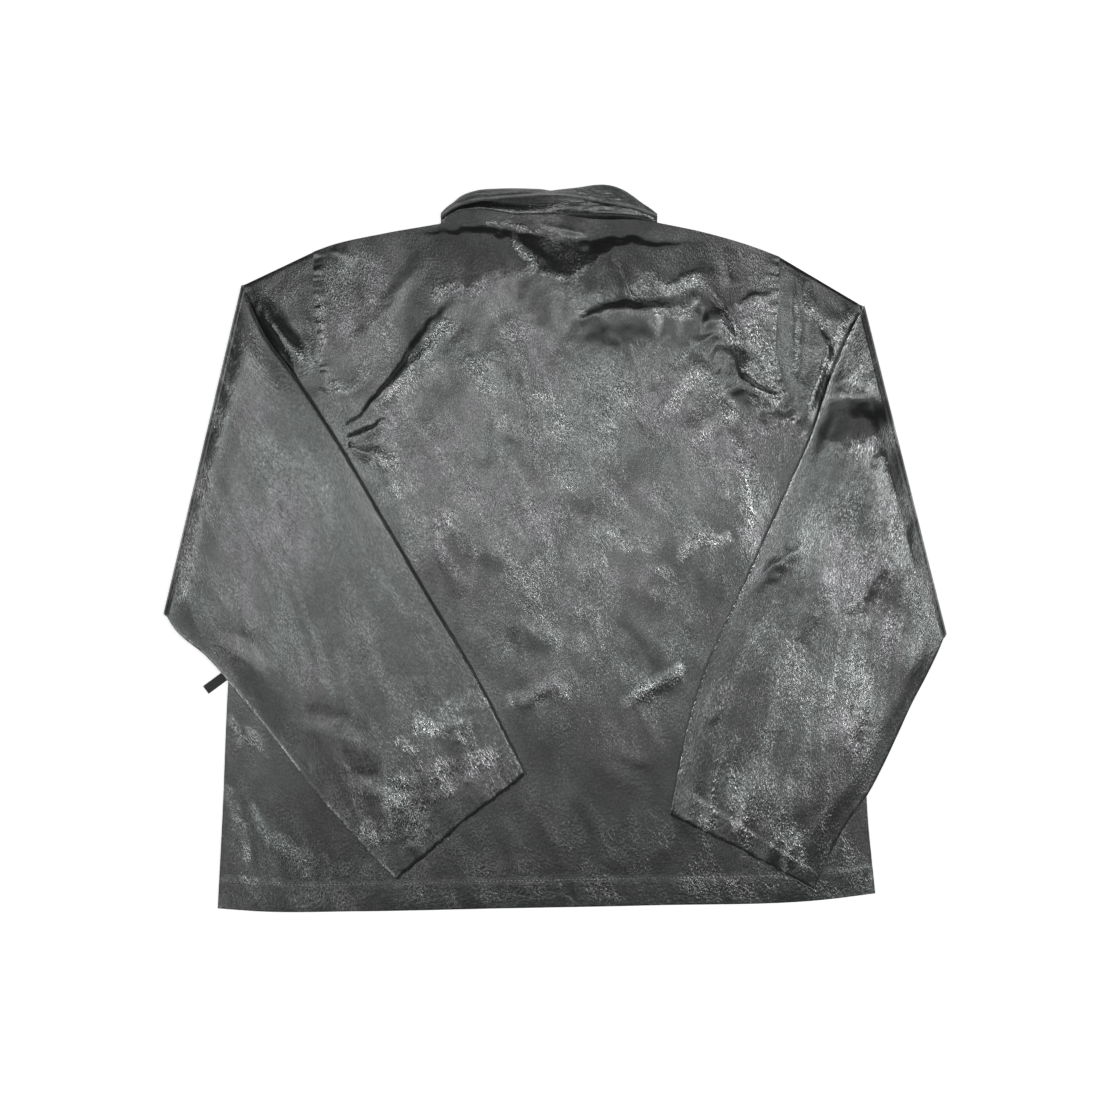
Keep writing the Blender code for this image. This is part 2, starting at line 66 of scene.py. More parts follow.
# cut edges of the body from above, in millimetres
bodyEdges = {
    "shoulderLeft": [(-241, 297), (-224, 303), (-171, 315), (-114, 325)],
    "neck": [(-114, 325), (-103, 335), (-83, 339), (-39, 334), (4, 334), (43, 330), (85, 329), (102, 326)],
    "shoulderRight": [(102, 326), (154, 315), (195, 303), (224, 292)],
    "armholeLeft": [(-241, 297), (-241, 249), (-236, 194), (-236, 160), (-252, 130), (-290, 70), (-317, 1)],
    "armholeRight": [(224, 292), (223, 249), (221, 194), (230, 159), (247, 126), (280, 65), (305, -11)],
    "sideLeft": [(-317, 1), (-327, -141), (-332, -261), (-337, -359)],
    "sideRight": [(305, -11), (310, -151), (312, -261), (320, -344)],
    "hem": [(-337, -359), (-296, -362), (-198, -362), (-52, -359), (96, -356), (272, -350), (320, -344)],
}
edgeSteps = {"shoulder": 78, "neck": 130, "armhole": 186, "side": 114}


def smoothStep(t):
    t = np.clip(t, 0.0, 1.0)
    return t * t * (3 - 2 * t)


def bell(off, width, power=2):
    return np.exp(-((off / width) ** power))


def rounded(far, width, power=2):      # from 0 at an edge up to 1 at the width
    return 1 - np.clip(1 - far / width, 0.0, 1.0) ** power


def runAlong(path):      # the way to each point of a path
    return np.concatenate([[0.0], np.cumsum(np.linalg.norm(np.diff(path, axis=0), axis=1))])


def curveThrough(places, steps):      # evenly spaced points on the smooth curve through the places
    knots = np.array(places, float)
    along = runAlong(knots)
    slopes = np.gradient(knots, along, axis=0)
    at = np.linspace(0.0, along[-1], cloth["curveSteps"] * steps + 1)
    piece = np.clip(np.searchsorted(along, at, side="right") - 1, 0, len(along) - 2)
    span = (along[piece + 1] - along[piece])[:, None]
    t = (at - along[piece])[:, None] / span
    fine = (
        (2 * t**3 - 3 * t**2 + 1) * knots[piece]
        + (t**3 - 2 * t**2 + t) * span * slopes[piece]
        + (3 * t**2 - 2 * t**3) * knots[piece + 1]
        + (t**3 - t**2) * span * slopes[piece + 1]
    )
    return evenly(fine, steps)


def evenly(path, steps):      # points at even steps along a path
    run = runAlong(path)
    wanted = np.linspace(0.0, run[-1], steps + 1)
    return np.stack([np.interp(wanted, run, column) for column in path.T], axis=1)


def joined(*runs):
    return np.concatenate([runs[0]] + [run[1:] for run in runs[1:]])


def softNoise(plan, size, seed):      # smooth noise from -1 to 1, a swelling about every size metres
    cells = cloth["noiseCells"]
    draws = np.random.RandomState(seed)
    heights = draws.uniform(-1.0, 1.0, (cells, cells))
    turn = draws.uniform(0.0, math.pi)
    spin = np.array([[math.cos(turn), -math.sin(turn)], [math.sin(turn), math.cos(turn)]])
    at = plan @ spin / size + cells / 2
    cell = np.floor(at).astype(int)
    t = at - cell
    t = t**3 * (t * (6 * t - 15) + 10)
    x0, y0 = cell[..., 0] % cells, cell[..., 1] % cells
    x1, y1 = (x0 + 1) % cells, (y0 + 1) % cells
    low = heights[x0, y0] * (1 - t[..., 0]) + heights[x1, y0] * t[..., 0]
    high = heights[x0, y1] * (1 - t[..., 0]) + heights[x1, y1] * t[..., 0]
    return low * (1 - t[..., 1]) + high * t[..., 1]


def stretchedNoise(plan, stretch, size, seed):
    return softNoise(plan * np.array(stretch), size, seed)


def warped(plan, size, reach, seed):      # the plan with its places shifted about, which makes edges ragged
    shift = np.stack([softNoise(plan, size, seed), softNoise(plan, size, seed + 1)], axis=-1)
    return plan + reach * shift


def crumple(plan, size, seed):      # sharp little ridges that wander, from 0 to 1
    warpSize, warpReach, seedStep = cloth["crumpleWarp"]
    bent = warped(plan, warpSize * size, warpReach * size, seed + seedStep)
    return (1 - np.abs(softNoise(bent, size, seed))) ** cloth["crumplePower"]


def nearPath(plan, path):      # distance from a path, which side of it, and share of the way along it
    lengths = np.linalg.norm(np.diff(path, axis=0), axis=1)
    best = np.full(len(plan), np.inf)
    side = np.ones(len(plan))
    share = np.zeros(len(plan))
    run = 0.0
    for start, end, length in zip(path[:-1], path[1:], lengths):
        step = end - start
        t = np.clip(((plan - start) @ step) / length**2, 0.0, 1.0)
        off = plan - start - t[:, None] * step
        far = np.hypot(off[:, 0], off[:, 1])
        closer = far < best
        best = np.where(closer, far, best)
        side = np.where(closer, np.sign(step[0] * off[:, 1] - step[1] * off[:, 0]), side)
        share = np.where(closer, (run + t * length) / lengths.sum(), share)
        run += length
    return best, side, share


def indexNear(flat, path, reach):      # places in the path's box, widened by the reach
    low, high = path.min(axis=0) - reach, path.max(axis=0) + reach
    return np.flatnonzero(np.all((flat > low) & (flat < high), axis=1))


def creaseLift(plan, creases):
    # Each crease is its height and a path with, at every place, the width of its slope to the left and to the
    # right, and maybe a share of the height. The narrower side falls straight, and the wider one eases away.
    flat = plan.reshape(-1, 2)
    lift = np.zeros(len(flat))
    crest = cloth["creaseCrest"]
    for height, places in creases:
        shares = np.array([place[4] if len(place) > 4 else 1.0 for place in places])
        rows = np.array([place[:4] for place in places], float) * mm
        path = curveThrough(rows[:, :2], cloth["creaseSteps"] * (len(rows) - 1))
        along = runAlong(rows[:, :2])
        stations = along / along[-1]
        near = indexNear(flat, path, max(rows[:, 2:].max(), 2 * rows[:, 2:].min(axis=1).max()))
        if not len(near):
            continue
        far, side, share = nearPath(flat[near], path)
        left, right = (np.interp(share, stations, rows[:, column]) for column in (2, 3))
        width = np.where(side > 0, left, right)
        s = far / width
        straight = ((1 - s) + np.sqrt((1 - s) ** 2 + crest)) / (1 + math.sqrt(1 + crest))
        crisp = straight * (1 - smoothStep(s - 1))
        soft = 1 - smoothStep(s)
        shape = np.where(width <= np.minimum(left, right), crisp, soft)
        ends = np.sin(math.pi * np.clip(share, 0.0, 1.0)) ** cloth["creaseEnds"]
        lift[near] += height * mm * np.interp(share, stations, shares) * ends * shape
    return lift.reshape(plan.shape[:-1])


def facetLift(plan, facet):
    # Cloth that swells up to a crisp edge, drops flat to a second one, and eases back to where it was.
    table = curveThrough(np.array(facet["cuts"], float) * mm, cloth["facetSteps"])
    x, y = plan[..., 0], plan[..., 1]
    low, high, drop, swell = (np.interp(x, table[:, 0], column) for column in table[:, 1:].T)

    def past(far):      # how far past an edge, with the corner a little rounded
        return (far + np.sqrt(far**2 + facet["rounding"] ** 2)) / 2

    falling = (past(y - low) - past(y - high)) / (high - low)
    rising = smoothStep((y - table[:, 1].min()) / facet["ease"] + 1)
    return (swell * rising - drop * falling) * (1 - smoothStep((y - high) / facet["recovery"]))


def coonsGrid(top, bottom, left, right):
    u = np.linspace(0.0, 1.0, len(top))[None, :, None]
    v = np.linspace(0.0, 1.0, len(left))[:, None, None]
    betweenEnds = (1 - v) * top[None] + v * bottom[None]
    betweenSides = (1 - u) * left[:, None] + u * right[:, None]
    corners = (1 - v) * ((1 - u) * top[0] + u * top[-1]) + v * ((1 - u) * bottom[0] + u * bottom[-1])
    return betweenEnds + betweenSides - corners


def withHeight(plan, height):
    return np.concatenate([plan, np.broadcast_to(height, plan.shape[:-1])[..., None]], axis=-1)


def everyFew(count, keep=()):      # places of the hidden side's points
    return np.array(sorted({0, count - 1, *range(0, count, cloth["innerStep"]), *keep}))


def gridNormals(rows, closed):
    if closed:
        around = np.concatenate([rows[:, -1:], rows, rows[:, :1]], axis=1)
        acrossStep = (around[:, 2:] - around[:, :-2]) / 2
    else:
        acrossStep = np.gradient(rows, axis=1)
    normal = np.cross(acrossStep, np.gradient(rows, axis=0))
    return normal / np.maximum(np.linalg.norm(normal, axis=-1, keepdims=True), 1e-12)


def newObject(name, data):
    thing = bpy.data.objects.new(name, data)
    bpy.context.scene.collection.objects.link(thing)
    return thing


def gridFaces(index):
    corners = (index[:-1, :-1], index[1:, :-1], index[1:, 1:], index[:-1, 1:])
    return np.stack(corners, axis=-1).reshape(-1, 4)


def rimFaces(outerLine, innerLine, stops):      # joins the two sides' edges, the inner one with fewer points
    return [
        [*outerLine[first:last + 1].tolist(), int(far), int(near)]
        for first, last, near, far in zip(stops[:-1], stops[1:], innerLine[:-1], innerLine[1:])
    ]


def shellPiece(
    name, rows, thickness, material, clothPlaces, crumpleShare,
    closed=False, keepCols=(), keepRows=(), outward=(0, 0, 1),
):
    # A closed wall: the shown side through the rows of points, and a coarser hidden side.
    rowCount, colCount = rows.shape[:2]
    normal = gridNormals(rows, closed)
    out = rows - rows.mean(axis=1, keepdims=True) if closed else np.array(outward, float)
    if (normal * out).sum(axis=-1).mean() < 0:
        normal = -normal
    innerRows = everyFew(rowCount, keepRows)
    innerCols = everyFew(colCount, keepCols)
    inner = (rows - thickness * normal)[np.ix_(innerRows, innerCols)]
    points = np.concatenate([rows.reshape(-1, 3), inner.reshape(-1, 3)])
    outerIndex = np.arange(rowCount * colCount).reshape(rowCount, colCount)
    innerIndex = rowCount * colCount + np.arange(inner.shape[0] * inner.shape[1]).reshape(inner.shape[:2])
    if closed:
        outerIndex = np.concatenate([outerIndex, outerIndex[:, :1]], axis=1)
        innerIndex = np.concatenate([innerIndex, innerIndex[:, :1]], axis=1)
        innerCols = np.append(innerCols, colCount)
    faces = gridFaces(outerIndex).tolist() + gridFaces(innerIndex)[:, ::-1].tolist()
    faces += rimFaces(outerIndex[0], innerIndex[0], innerCols)
    faces += [face[::-1] for face in rimFaces(outerIndex[-1], innerIndex[-1], innerCols)]
    if not closed:
        faces += [face[::-1] for face in rimFaces(outerIndex[:, 0], innerIndex[:, 0], innerRows)]
        faces += rimFaces(outerIndex[:, -1], innerIndex[:, -1], innerRows)
    mesh = bpy.data.meshes.new(name)
    mesh.from_pydata(points.tolist(), [], faces)
    shownNormals = vertexNormals(mesh)[:rowCount * colCount]
    if (normal.reshape(-1, 3) * shownNormals).sum(axis=1).mean() < 0:
        mesh.flip_normals()
    innerPick = np.ix_(innerRows, innerCols[:-1] if closed else innerCols)
    places = np.concatenate([clothPlaces.reshape(-1, 2), clothPlaces[innerPick].reshape(-1, 2)])
    share = np.concatenate([crumpleShare.reshape(-1), crumpleShare[innerPick].reshape(-1)])
    mesh.attributes.new("clothPlace", "FLOAT_VECTOR", "POINT").data.foreach_set(
        "vector", withHeight(places, 0.0).astype(np.float32).ravel())
    # the crumple share shapes the shader's fine wrinkles and sets its painted sheen
    mesh.attributes.new("crumple", "FLOAT", "POINT").data.foreach_set("value", share.astype(np.float32))
    mesh.shade_smooth()
    mesh.set_sharp_from_angle(angle=cloth["sharpAngle"])
    mesh.materials.append(material)
    return newObject(name, mesh)


def vertexNormals(mesh):
    out = np.zeros(len(mesh.vertices) * 3, np.float32)
    mesh.vertex_normals.foreach_get("vector", out)
    return out.reshape(-1, 3)


def fill(tree, node, inputs):      # each input takes a plain value, or the output of another node
    for label, value in inputs.items():
        if isinstance(value, bpy.types.NodeSocket):
            tree.links.new(value, node.inputs[label])
        else:
            node.inputs[label].default_value = value


def newNode(tree, kind, inputs=None, **settings):
    node = tree.nodes.new(kind)
    for key, value in settings.items():
        setattr(node, key, value)
    fill(tree, node, inputs or {})
    return node


def mathNode(tree, operation, *values, clamp=False):
    node = newNode(tree, "ShaderNodeMath", operation=operation, use_clamp=clamp)
    fill(tree, node, dict(enumerate(values)))
    return node.outputs[0]


def timesPlus(tree, value, times, plus):
    return mathNode(tree, "ADD", mathNode(tree, "MULTIPLY", value, times), plus)


def rampNode(tree, value, limits, smooth=False):      # limits of the value, then of what it becomes
    inputs = dict(zip(("From Min", "From Max", "To Min", "To Max"), limits), Value=value)
    kind = "SMOOTHSTEP" if smooth else "LINEAR"
    return newNode(tree, "ShaderNodeMapRange", inputs, interpolation_type=kind).outputs[0]


def newMaterial(name):
    material = bpy.data.materials.new(name)
    material.use_nodes = True
    return material, material.node_tree, material.node_tree.nodes["Principled BSDF"]


def newGroup(name, inputs, outputs):      # a shader group, with the kind of each input and output
    group = bpy.data.node_groups.new(name, "ShaderNodeTree")
    for way, sockets in (("INPUT", inputs), ("OUTPUT", outputs)):
        for label, kind in sockets.items():
            group.interface.new_socket(label, in_out=way, socket_type="NodeSocket" + kind)
    return group, newNode(group, "NodeGroupInput"), newNode(group, "NodeGroupOutput")


crinkleLook = {
    # noises: scale beside the wrinkles', detail and distortion
    "fine": (1.0, 1.0, 0.4),
    "broad": (0.26, 1.5, 0.9),
    "patches": (0.040, 4.0, 0.3),
    "streaks": (0.09, 2.0, 0.6),
    # limits of a noise, and of what it becomes
    "patchLimits": (0.36, 0.64, 0.40, 1.0),
    "sparkLimits": (0.44, 0.68, -0.12, 1.35),
    # sparkLimits, the streak and sheen shares, the fleck share and power, and ridgeGlint set the painted
    # sheen and glints
    # share that goes with the patch, and share that is everywhere
    "fineShares": (0.95, 0.10),
    "streakShares": (1.5, 0.10),
    "sheenShares": (1.08, 0.57),
    "fleckShare": 0.13,
    "fleckPower": 1.6,
    "ridgeSharpness": 9.0,
    "ridgeShare": 0.40,
    "ridgeGlint": 0.7,
}


def crinkleGroup():      # short fine wrinkles of set nylon, which stand up more where the cloth is crumpled, and a painted sheen with glints that lightens the cloth's colour where it is crumpled and darkens it where smooth
    group, given, out = newGroup(
        "nylonCrinkle",
        {"Place": "Vector", "Wrinkles per metre": "Float", "CrumpleAndSheen": "Float"},
        {"Height": "Float", "Patch": "Float", "PaintedGlint": "Float"},
    )
    look = crinkleLook

    def calc(operation, *values, clamp=False):
        return mathNode(group, operation, *values, clamp=clamp)

    def noise(name):
        times, detail, distortion = look[name]
        scale = calc("MULTIPLY", given.outputs["Wrinkles per metre"], times)
        return newNode(group, "ShaderNodeTexNoise", {
            "Vector": given.outputs["Place"], "Scale": scale, "Detail": detail, "Distortion": distortion,
        }, noise_dimensions="2D").outputs[0]

    fine, broad, patches, streaks = (noise(name) for name in ("fine", "broad", "patches", "streaks"))
    uneven = rampNode(group, patches, look["patchLimits"], smooth=True)
    patch = calc("MULTIPLY", uneven, given.outputs["CrumpleAndSheen"])
    off = calc("ABSOLUTE", calc("SUBTRACT", broad, 0.5))
    ridge = calc("SUBTRACT", 1.0, calc("MULTIPLY", off, look["ridgeSharpness"]), clamp=True)
    fineHeight = calc("MULTIPLY", fine, timesPlus(group, patch, *look["fineShares"]))
    ridgeHeight = calc("MULTIPLY", ridge, calc("MULTIPLY", patch, look["ridgeShare"]))
    # painted sheen and glints: flecks, streaks and ridge lines that scale the cloth's colour, strongest in
    # crumpled patches
    spark = rampNode(group, fine, look["sparkLimits"])
    fleckShare = calc("ADD", calc("POWER", patch, look["fleckPower"]), look["fleckShare"])
    paintedFlecks = calc("MULTIPLY", spark, fleckShare)
    streakShare = timesPlus(group, patch, *look["streakShares"])
    streak = calc("MULTIPLY", calc("SUBTRACT", streaks, 0.5), streakShare)
    paintedSheen = calc("ADD", timesPlus(group, patch, *look["sheenShares"]), streak)
    paintedLines = calc("MULTIPLY", calc("MULTIPLY", ridge, calc("MULTIPLY", patch, patch)), look["ridgeGlint"])
    fill(group, out, {
        "Height": calc("ADD", fineHeight, ridgeHeight),
        "Patch": patch,
        "PaintedGlint": calc("ADD", calc("ADD", paintedFlecks, paintedSheen), paintedLines),
    })
    return group


nylon = {
    "green": (0.112, 0.119, 0.116, 1.0),
    "violet": (0.119, 0.118, 0.121, 1.0),
    "patchesPerMetre": 13.0,
    "patchDetail": 3.0,
    "patchRoughness": 0.6,
    "patchLimits": (0.36, 0.64, 0.0, 1.0),
    "metallic": 0.84,
    "roughness": 0.24,
    "roughnessDrop": 0.05,      # crumpled cloth is a little glossier
    "bumpDepth": 0.52 * mm,
}


def twoToneGroup():      # the warp and weft of the cloth show a little green here and a little violet there
    group, given, out = newGroup(
        "twoTone",
        {"Place": "Vector", "Patches per metre": "Float", "First": "Color", "Second": "Color"},
        {"Color": "Color"},
    )
    noise = newNode(group, "ShaderNodeTexNoise", {
        "Vector": given.outputs["Place"], "Scale": given.outputs["Patches per metre"],
        "Detail": nylon["patchDetail"], "Roughness": nylon["patchRoughness"],
    }, noise_dimensions="2D")
    mix = newNode(group, "ShaderNodeMix", {
        "Factor": rampNode(group, noise.outputs[0], nylon["patchLimits"]),
        "A": given.outputs["First"], "B": given.outputs["Second"],
    }, data_type="RGBA")
    fill(group, out, {"Color": mix.outputs["Result"]})
    return group


crinkle = crinkleGroup()
twoTone = twoToneGroup()


def nylonMaterial(
    name, wrinklesPerMetre, stretch, depthShare=1.0, moreRoughness=0.0, metallic=nylon["metallic"],
):      # the stretch is along and across the wrinkles, then their turn in degrees
    material, tree, shader = newMaterial(name)
    place = newNode(tree, "ShaderNodeAttribute", attribute_name="clothPlace").outputs["Vector"]
    share = newNode(tree, "ShaderNodeAttribute", attribute_name="crumple").outputs["Fac"]
    along, across, turn = stretch
    mapping = newNode(tree, "ShaderNodeMapping", {
        "Vector": place, "Scale": (1 / along, 1 / across, 1.0), "Rotation": (0.0, 0.0, math.radians(turn)),
    }, vector_type="TEXTURE")
    tone = newNode(tree, "ShaderNodeGroup", {
        "Place": place, "Patches per metre": nylon["patchesPerMetre"],
        "First": nylon["green"], "Second": nylon["violet"],
    }, node_tree=twoTone)
    wrinkles = newNode(tree, "ShaderNodeGroup", {
        "Place": mapping.outputs["Vector"], "Wrinkles per metre": wrinklesPerMetre, "CrumpleAndSheen": share,
    }, node_tree=crinkle)
    # the cloth's colour times the painted sheen and glints: lighter where crumpled, darker where smooth
    shine = newNode(tree, "ShaderNodeVectorMath", {
        "Vector": tone.outputs["Color"], "Scale": wrinkles.outputs["PaintedGlint"],
    }, operation="SCALE")
    bump = newNode(tree, "ShaderNodeBump", {
        "Distance": nylon["bumpDepth"] * depthShare, "Height": wrinkles.outputs["Height"],
    })
    gloss = mathNode(tree, "MULTIPLY", wrinkles.outputs["Patch"], nylon["roughnessDrop"])
    fill(tree, shader, {
        "Base Color": shine.outputs[0], "Normal": bump.outputs["Normal"], "Metallic": metallic,
        "Roughness": mathNode(tree, "SUBTRACT", nylon["roughness"] + moreRoughness, gloss),
    })
    return material


bodyNylon = nylonMaterial("bodyNylon", 740.0, (1.0, 0.48, 22.0))
sleeveNylon = nylonMaterial("sleeveNylon", 680.0, (1.0, 0.45, 0.0))
collarNylon = nylonMaterial("collarNylon", 600.0, (0.5, 1.0, 0.0), 0.9, 0.10, 0.50)
standNylon = nylonMaterial("standNylon", 600.0, (0.5, 1.0, 0.0), 0.9, 0.05)

tapeLook = {
    "shades": (0.7, 1.35),      # darkest and lightest thread, beside the tape's colour
    "distortion": 0.6,
    "dustShare": 0.6,      # grains of dust for each rib
    "dustDetail": 3.0,
}


def tapeMaterial(name, colour, roughness, ribsPerMetre, bumpDepth):      # woven tape, its threads as bands
    material, tree, shader = newMaterial(name)
    place = newNode(tree, "ShaderNodeTexCoord").outputs["Object"]
    threads = newNode(tree, "ShaderNodeTexWave", {
        "Vector": place, "Scale": ribsPerMetre, "Distortion": tapeLook["distortion"],
    }, bands_direction="DIAGONAL").outputs[0]
    dust = newNode(tree, "ShaderNodeTexNoise", {
        "Vector": place, "Scale": tapeLook["dustShare"] * ribsPerMetre, "Detail": tapeLook["dustDetail"],
    }).outputs[0]
    dark, light = (tuple(share * part for part in colour) + (1.0,) for share in tapeLook["shades"])
    mixed = mathNode(tree, "MULTIPLY", mathNode(tree, "ADD", threads, dust), 0.5)
    shade = newNode(tree, "ShaderNodeMix", {"Factor": mixed, "A": dark, "B": light}, data_type="RGBA")
    bump = newNode(tree, "ShaderNodeBump", {"Distance": bumpDepth, "Height": threads})
    fill(tree, shader, {
        "Base Color": shade.outputs["Result"], "Normal": bump.outputs["Normal"], "Roughness": roughness,
    })
    return material


ribbedTape = tapeMaterial("ribbedTape", (0.045, 0.050, 0.048), 0.70, 420.0, 0.08 * mm)
zipTape = tapeMaterial("zipTape", (0.030, 0.032, 0.033), 0.70, 520.0, 0.06 * mm)
zipTooth = tapeMaterial("zipTooth", (0.055, 0.057, 0.058), 0.38, 260.0, 0.02 * mm)
thread = tapeMaterial("thread", (0.090, 0.092, 0.090), 0.55, 900.0, 0.04 * mm)
print("materials made")

edges = {}
for edgeName, places in bodyEdges.items():
    kind = edgeName.removesuffix("Left").removesuffix("Right")
    steps = edgeSteps[kind] if kind != "hem" else 2 * edgeSteps["shoulder"] + edgeSteps["neck"]
    edges[edgeName] = curveThrough(np.array(places) * mm, steps)

# heights and creases of the back; a crease is its height, then rows of x, y, left width, right width
back = {
    "rimTop": 2.7 * mm,
    "rimSlack": 0.3 * mm,      # how far a crease may go below the rim
    "swell": 2.2 * mm,
    "halfWidth": 0.330,
    "halfLength": 0.362,
    "rimPower": 6,
    "neckRise": -0.8 * mm,
    "neckHalfWidth": 0.118,
    "neckEase": 0.040,
    "neckMiddle": -0.006,
    "neckStart": 0.298,
    "neckEnd": 0.334,
    "hemDepth": 27.5 * mm,
    "hemStep": 0.22 * mm,
    "hemEase": 3 * mm,
    "hemPull": (5 * mm, 0.12 * mm),      # reach and depth of what the sewn line draws in
    "hemWave": ((1.0, 0.3), 6 * mm, 61),      # stretch, size and seed
    "stretch": (1.25, 0.8),
    "undulation": ((95 * mm, 2.1 * mm, 11), (46 * mm, 1.3 * mm, 12), (21 * mm, 0.40 * mm, 13)),
    "calmShare": 0.4,      # of the undulation away from the upper middle
    "livelyHalf": 0.17,
    "livelyLow": -0.16,
    "livelyEase": 0.20,
    "crumple": (11 * mm, 0.22 * mm, 40),      # size, depth and seed
    "grain": 0.15,
    "ragged": (9 * mm, 2.2 * mm, 31),      # size, reach and seed of the creases' wandering
    "pucker": (3.4 * mm, 0.55 * mm, 9 * mm),      # size, depth and reach
    "puckerStretch": 0.25,
    "puckerSeeds": {"armholeLeft": 51, "armholeRight": 52},
}
backCreases = [
    # slit and wrinkles between the deep fold and the neck
    (1.5, [(-17, 325, 3, 8), (5, 321, 3, 9), (32, 315, 3, 8)]),
    (0.9, [(-70, 324, 2.6, 4), (-48, 322.5, 2.6, 4), (-20, 324, 2.6, 4)]),
    (0.8, [(-62, 319, 2.6, 4), (-44, 318, 2.6, 4), (-24, 319, 2.6, 4)]),
    # long diagonal folds from the left armhole
    (1.7, [(-209, 122, 4, 26), (-190, 138, 3.4, 24), (-172, 158, 3.2, 22), (-157, 178, 3.2, 22),
           (-143, 196, 3.6, 24), (-124, 224, 5, 24), (-96, 251, 9, 24)]),
    (1.6, [(-177, 151, 5, 40), (-158, 168, 6, 44), (-140, 186, 7, 46), (-121, 204, 8, 46),
           (-102, 229, 7, 40)]),
    (0.8, [(-214, 188, 16, 12), (-196, 203, 16, 10), (-178, 226, 16, 8), (-165, 241, 16, 8),
           (-150, 264, 16, 10), (-126, 296, 14, 12)]),
    (1.6, [(-208, 110, 4, 16), (-190, 117, 5, 18), (-166, 131, 4, 14)]),
    (2.0, [(-207, 104, 6, 14), (-186, 96, 10, 16), (-160, 84, 7, 14)]),
    (1.4, [(-202, 286, 5, 14), (-212, 295, 5, 14), (-222, 299, 4, 12)]),
    # crumples of the right shoulder
    (4.1, [(24, 228, 4, 40), (46, 237, 8, 50), (62, 238, 9, 52), (80, 240, 9, 52), (100, 241, 7, 52, 0.85),
           (118, 241, 10, 50, 0.6), (144, 240, 26, 44, 0.3)]),
    (1.3, [(110, 261, 5, 18), (128, 270, 5, 20), (148, 278, 6, 20), (160, 279, 4, 16)]),
    (3.2, [(147, 238, 7, 24), (154, 237, 12, 26), (163, 231, 13, 26), (173, 221, 6, 24),
           (182, 210, 3, 20)]),
    (3.4, [(156, 196, 3, 26), (167, 197, 13, 28), (179, 187, 14, 28), (184, 171, 8, 26), (204, 159, 4, 22),
           (226, 149, 3, 16)]),
    (1.4, [(186, 242, 5, 16), (196, 251, 4, 16), (214, 255, 4, 14)]),
    (1.2, [(136, 203, 5, 14), (148, 209, 5, 14), (167, 216, 4, 12)]),
    (1.0, [(176, 262, 8, 8), (172, 284, 8, 8), (178, 300, 8, 8)]),
    # softer ridges lower down
    (1.3, [(170, 128, 28, 15), (176, 106, 26, 12), (186, 62, 24, 11), (203, 24, 20, 10)]),
    (1.5, [(84, 130, 30, 18), (110, 152, 30, 16), (128, 170, 28, 14), (150, 190, 24, 14)]),
    (1.7, [(176, 142, 22, 22), (150, 128, 24, 20), (128, 110, 24, 20)]),
    (1.3, [(200, 116, 12, 8), (224, 128, 12, 8), (240, 126, 10, 7)]),
    (1.2, [(-52, 206, 30, 11), (-44, 168, 34, 12), (-36, 120, 34, 12), (-22, 60, 30, 12)]),
    (0.9, [(-122, 28, 20, 9), (-109, -17, 18, 8), (-96, -48, 18, 8)]),
    (0.8, [(-98, 26, 26, 13), (-63, -8, 26, 13), (-26, -34, 22, 12)]),
    (1.0, [(10, 30, 30, 13), (22, -20, 32, 14), (24, -70, 30, 13)]),
    (0.9, [(-48, -66, 10, 22), (-20, -84, 10, 22), (8, -92, 9, 20)]),
    (0.8, [(-34, -158, 16, 10), (-12, -143, 16, 8), (10, -137, 16, 10)]),
    (1.2, [(74, -149, 4, 14), (96, -136, 5, 16), (108, -129, 5, 16), (126, -118, 4, 14)]),
    (0.9, [(60, -60, 24, 10), (88, -88, 24, 10), (110, -130, 22, 10)]),
    (0.5, [(46, -196, 12, 14), (72, -206, 12, 14), (100, -214, 12, 12)]),
    (0.5, [(18, -196, 22, 18), (40, -216, 22, 18), (66, -222, 20, 18)]),
    (0.7, [(-334, -240, 3.5, 9), (-324, -254, 3.5, 9), (-314, -276, 4, 9), (-308, -306, 4, 9)]),
    (0.6, [(-336, -286, 3.5, 8), (-326, -300, 3.5, 8), (-316, -318, 3.5, 8)]),
    (0.9, [(-300, -266, 8, 14), (-280, -288, 9, 14), (-246, -318, 8, 14)]),
    (0.5, [(-326, -172, 3.5, 9), (-304, -184, 4, 9), (-284, -200, 3.5, 9)]),
]
neckFold = {      # the deep fold under the collar; its cuts are x, lower and upper y, drop and swell
    "cuts": [(-150, 313, 315, 0.0, 0.0), (-125, 315, 318, 1.3, 1.0), (-100, 315, 320, 2.2, 1.6),
             (-79, 315, 321, 3.0, 2.3), (-55, 312, 319, 3.9, 3.2), (-38, 308, 316, 4.7, 4.0),
             (-25, 297, 315.5, 6.0, 4.8), (-17, 282, 315, 7.6, 5.3), (0, 272, 311, 8.4, 6.0),
             (18, 274, 306, 7.8, 6.0), (31, 282, 308.5, 6.8, 5.6), (46, 292, 311, 5.5, 4.9),
             (61, 302, 311, 4.6, 4.1), (79, 305, 311, 3.5, 3.1), (97, 302, 306, 2.6, 2.3),
             (113, 301.5, 305, 1.7, 1.5), (135, 303, 305, 0.6, 0.5), (150, 304, 306, 0.0, 0.0)],
    "ease": 110 * mm,
    "recovery": 22 * mm,
    "rounding": 0.6 * mm,
}
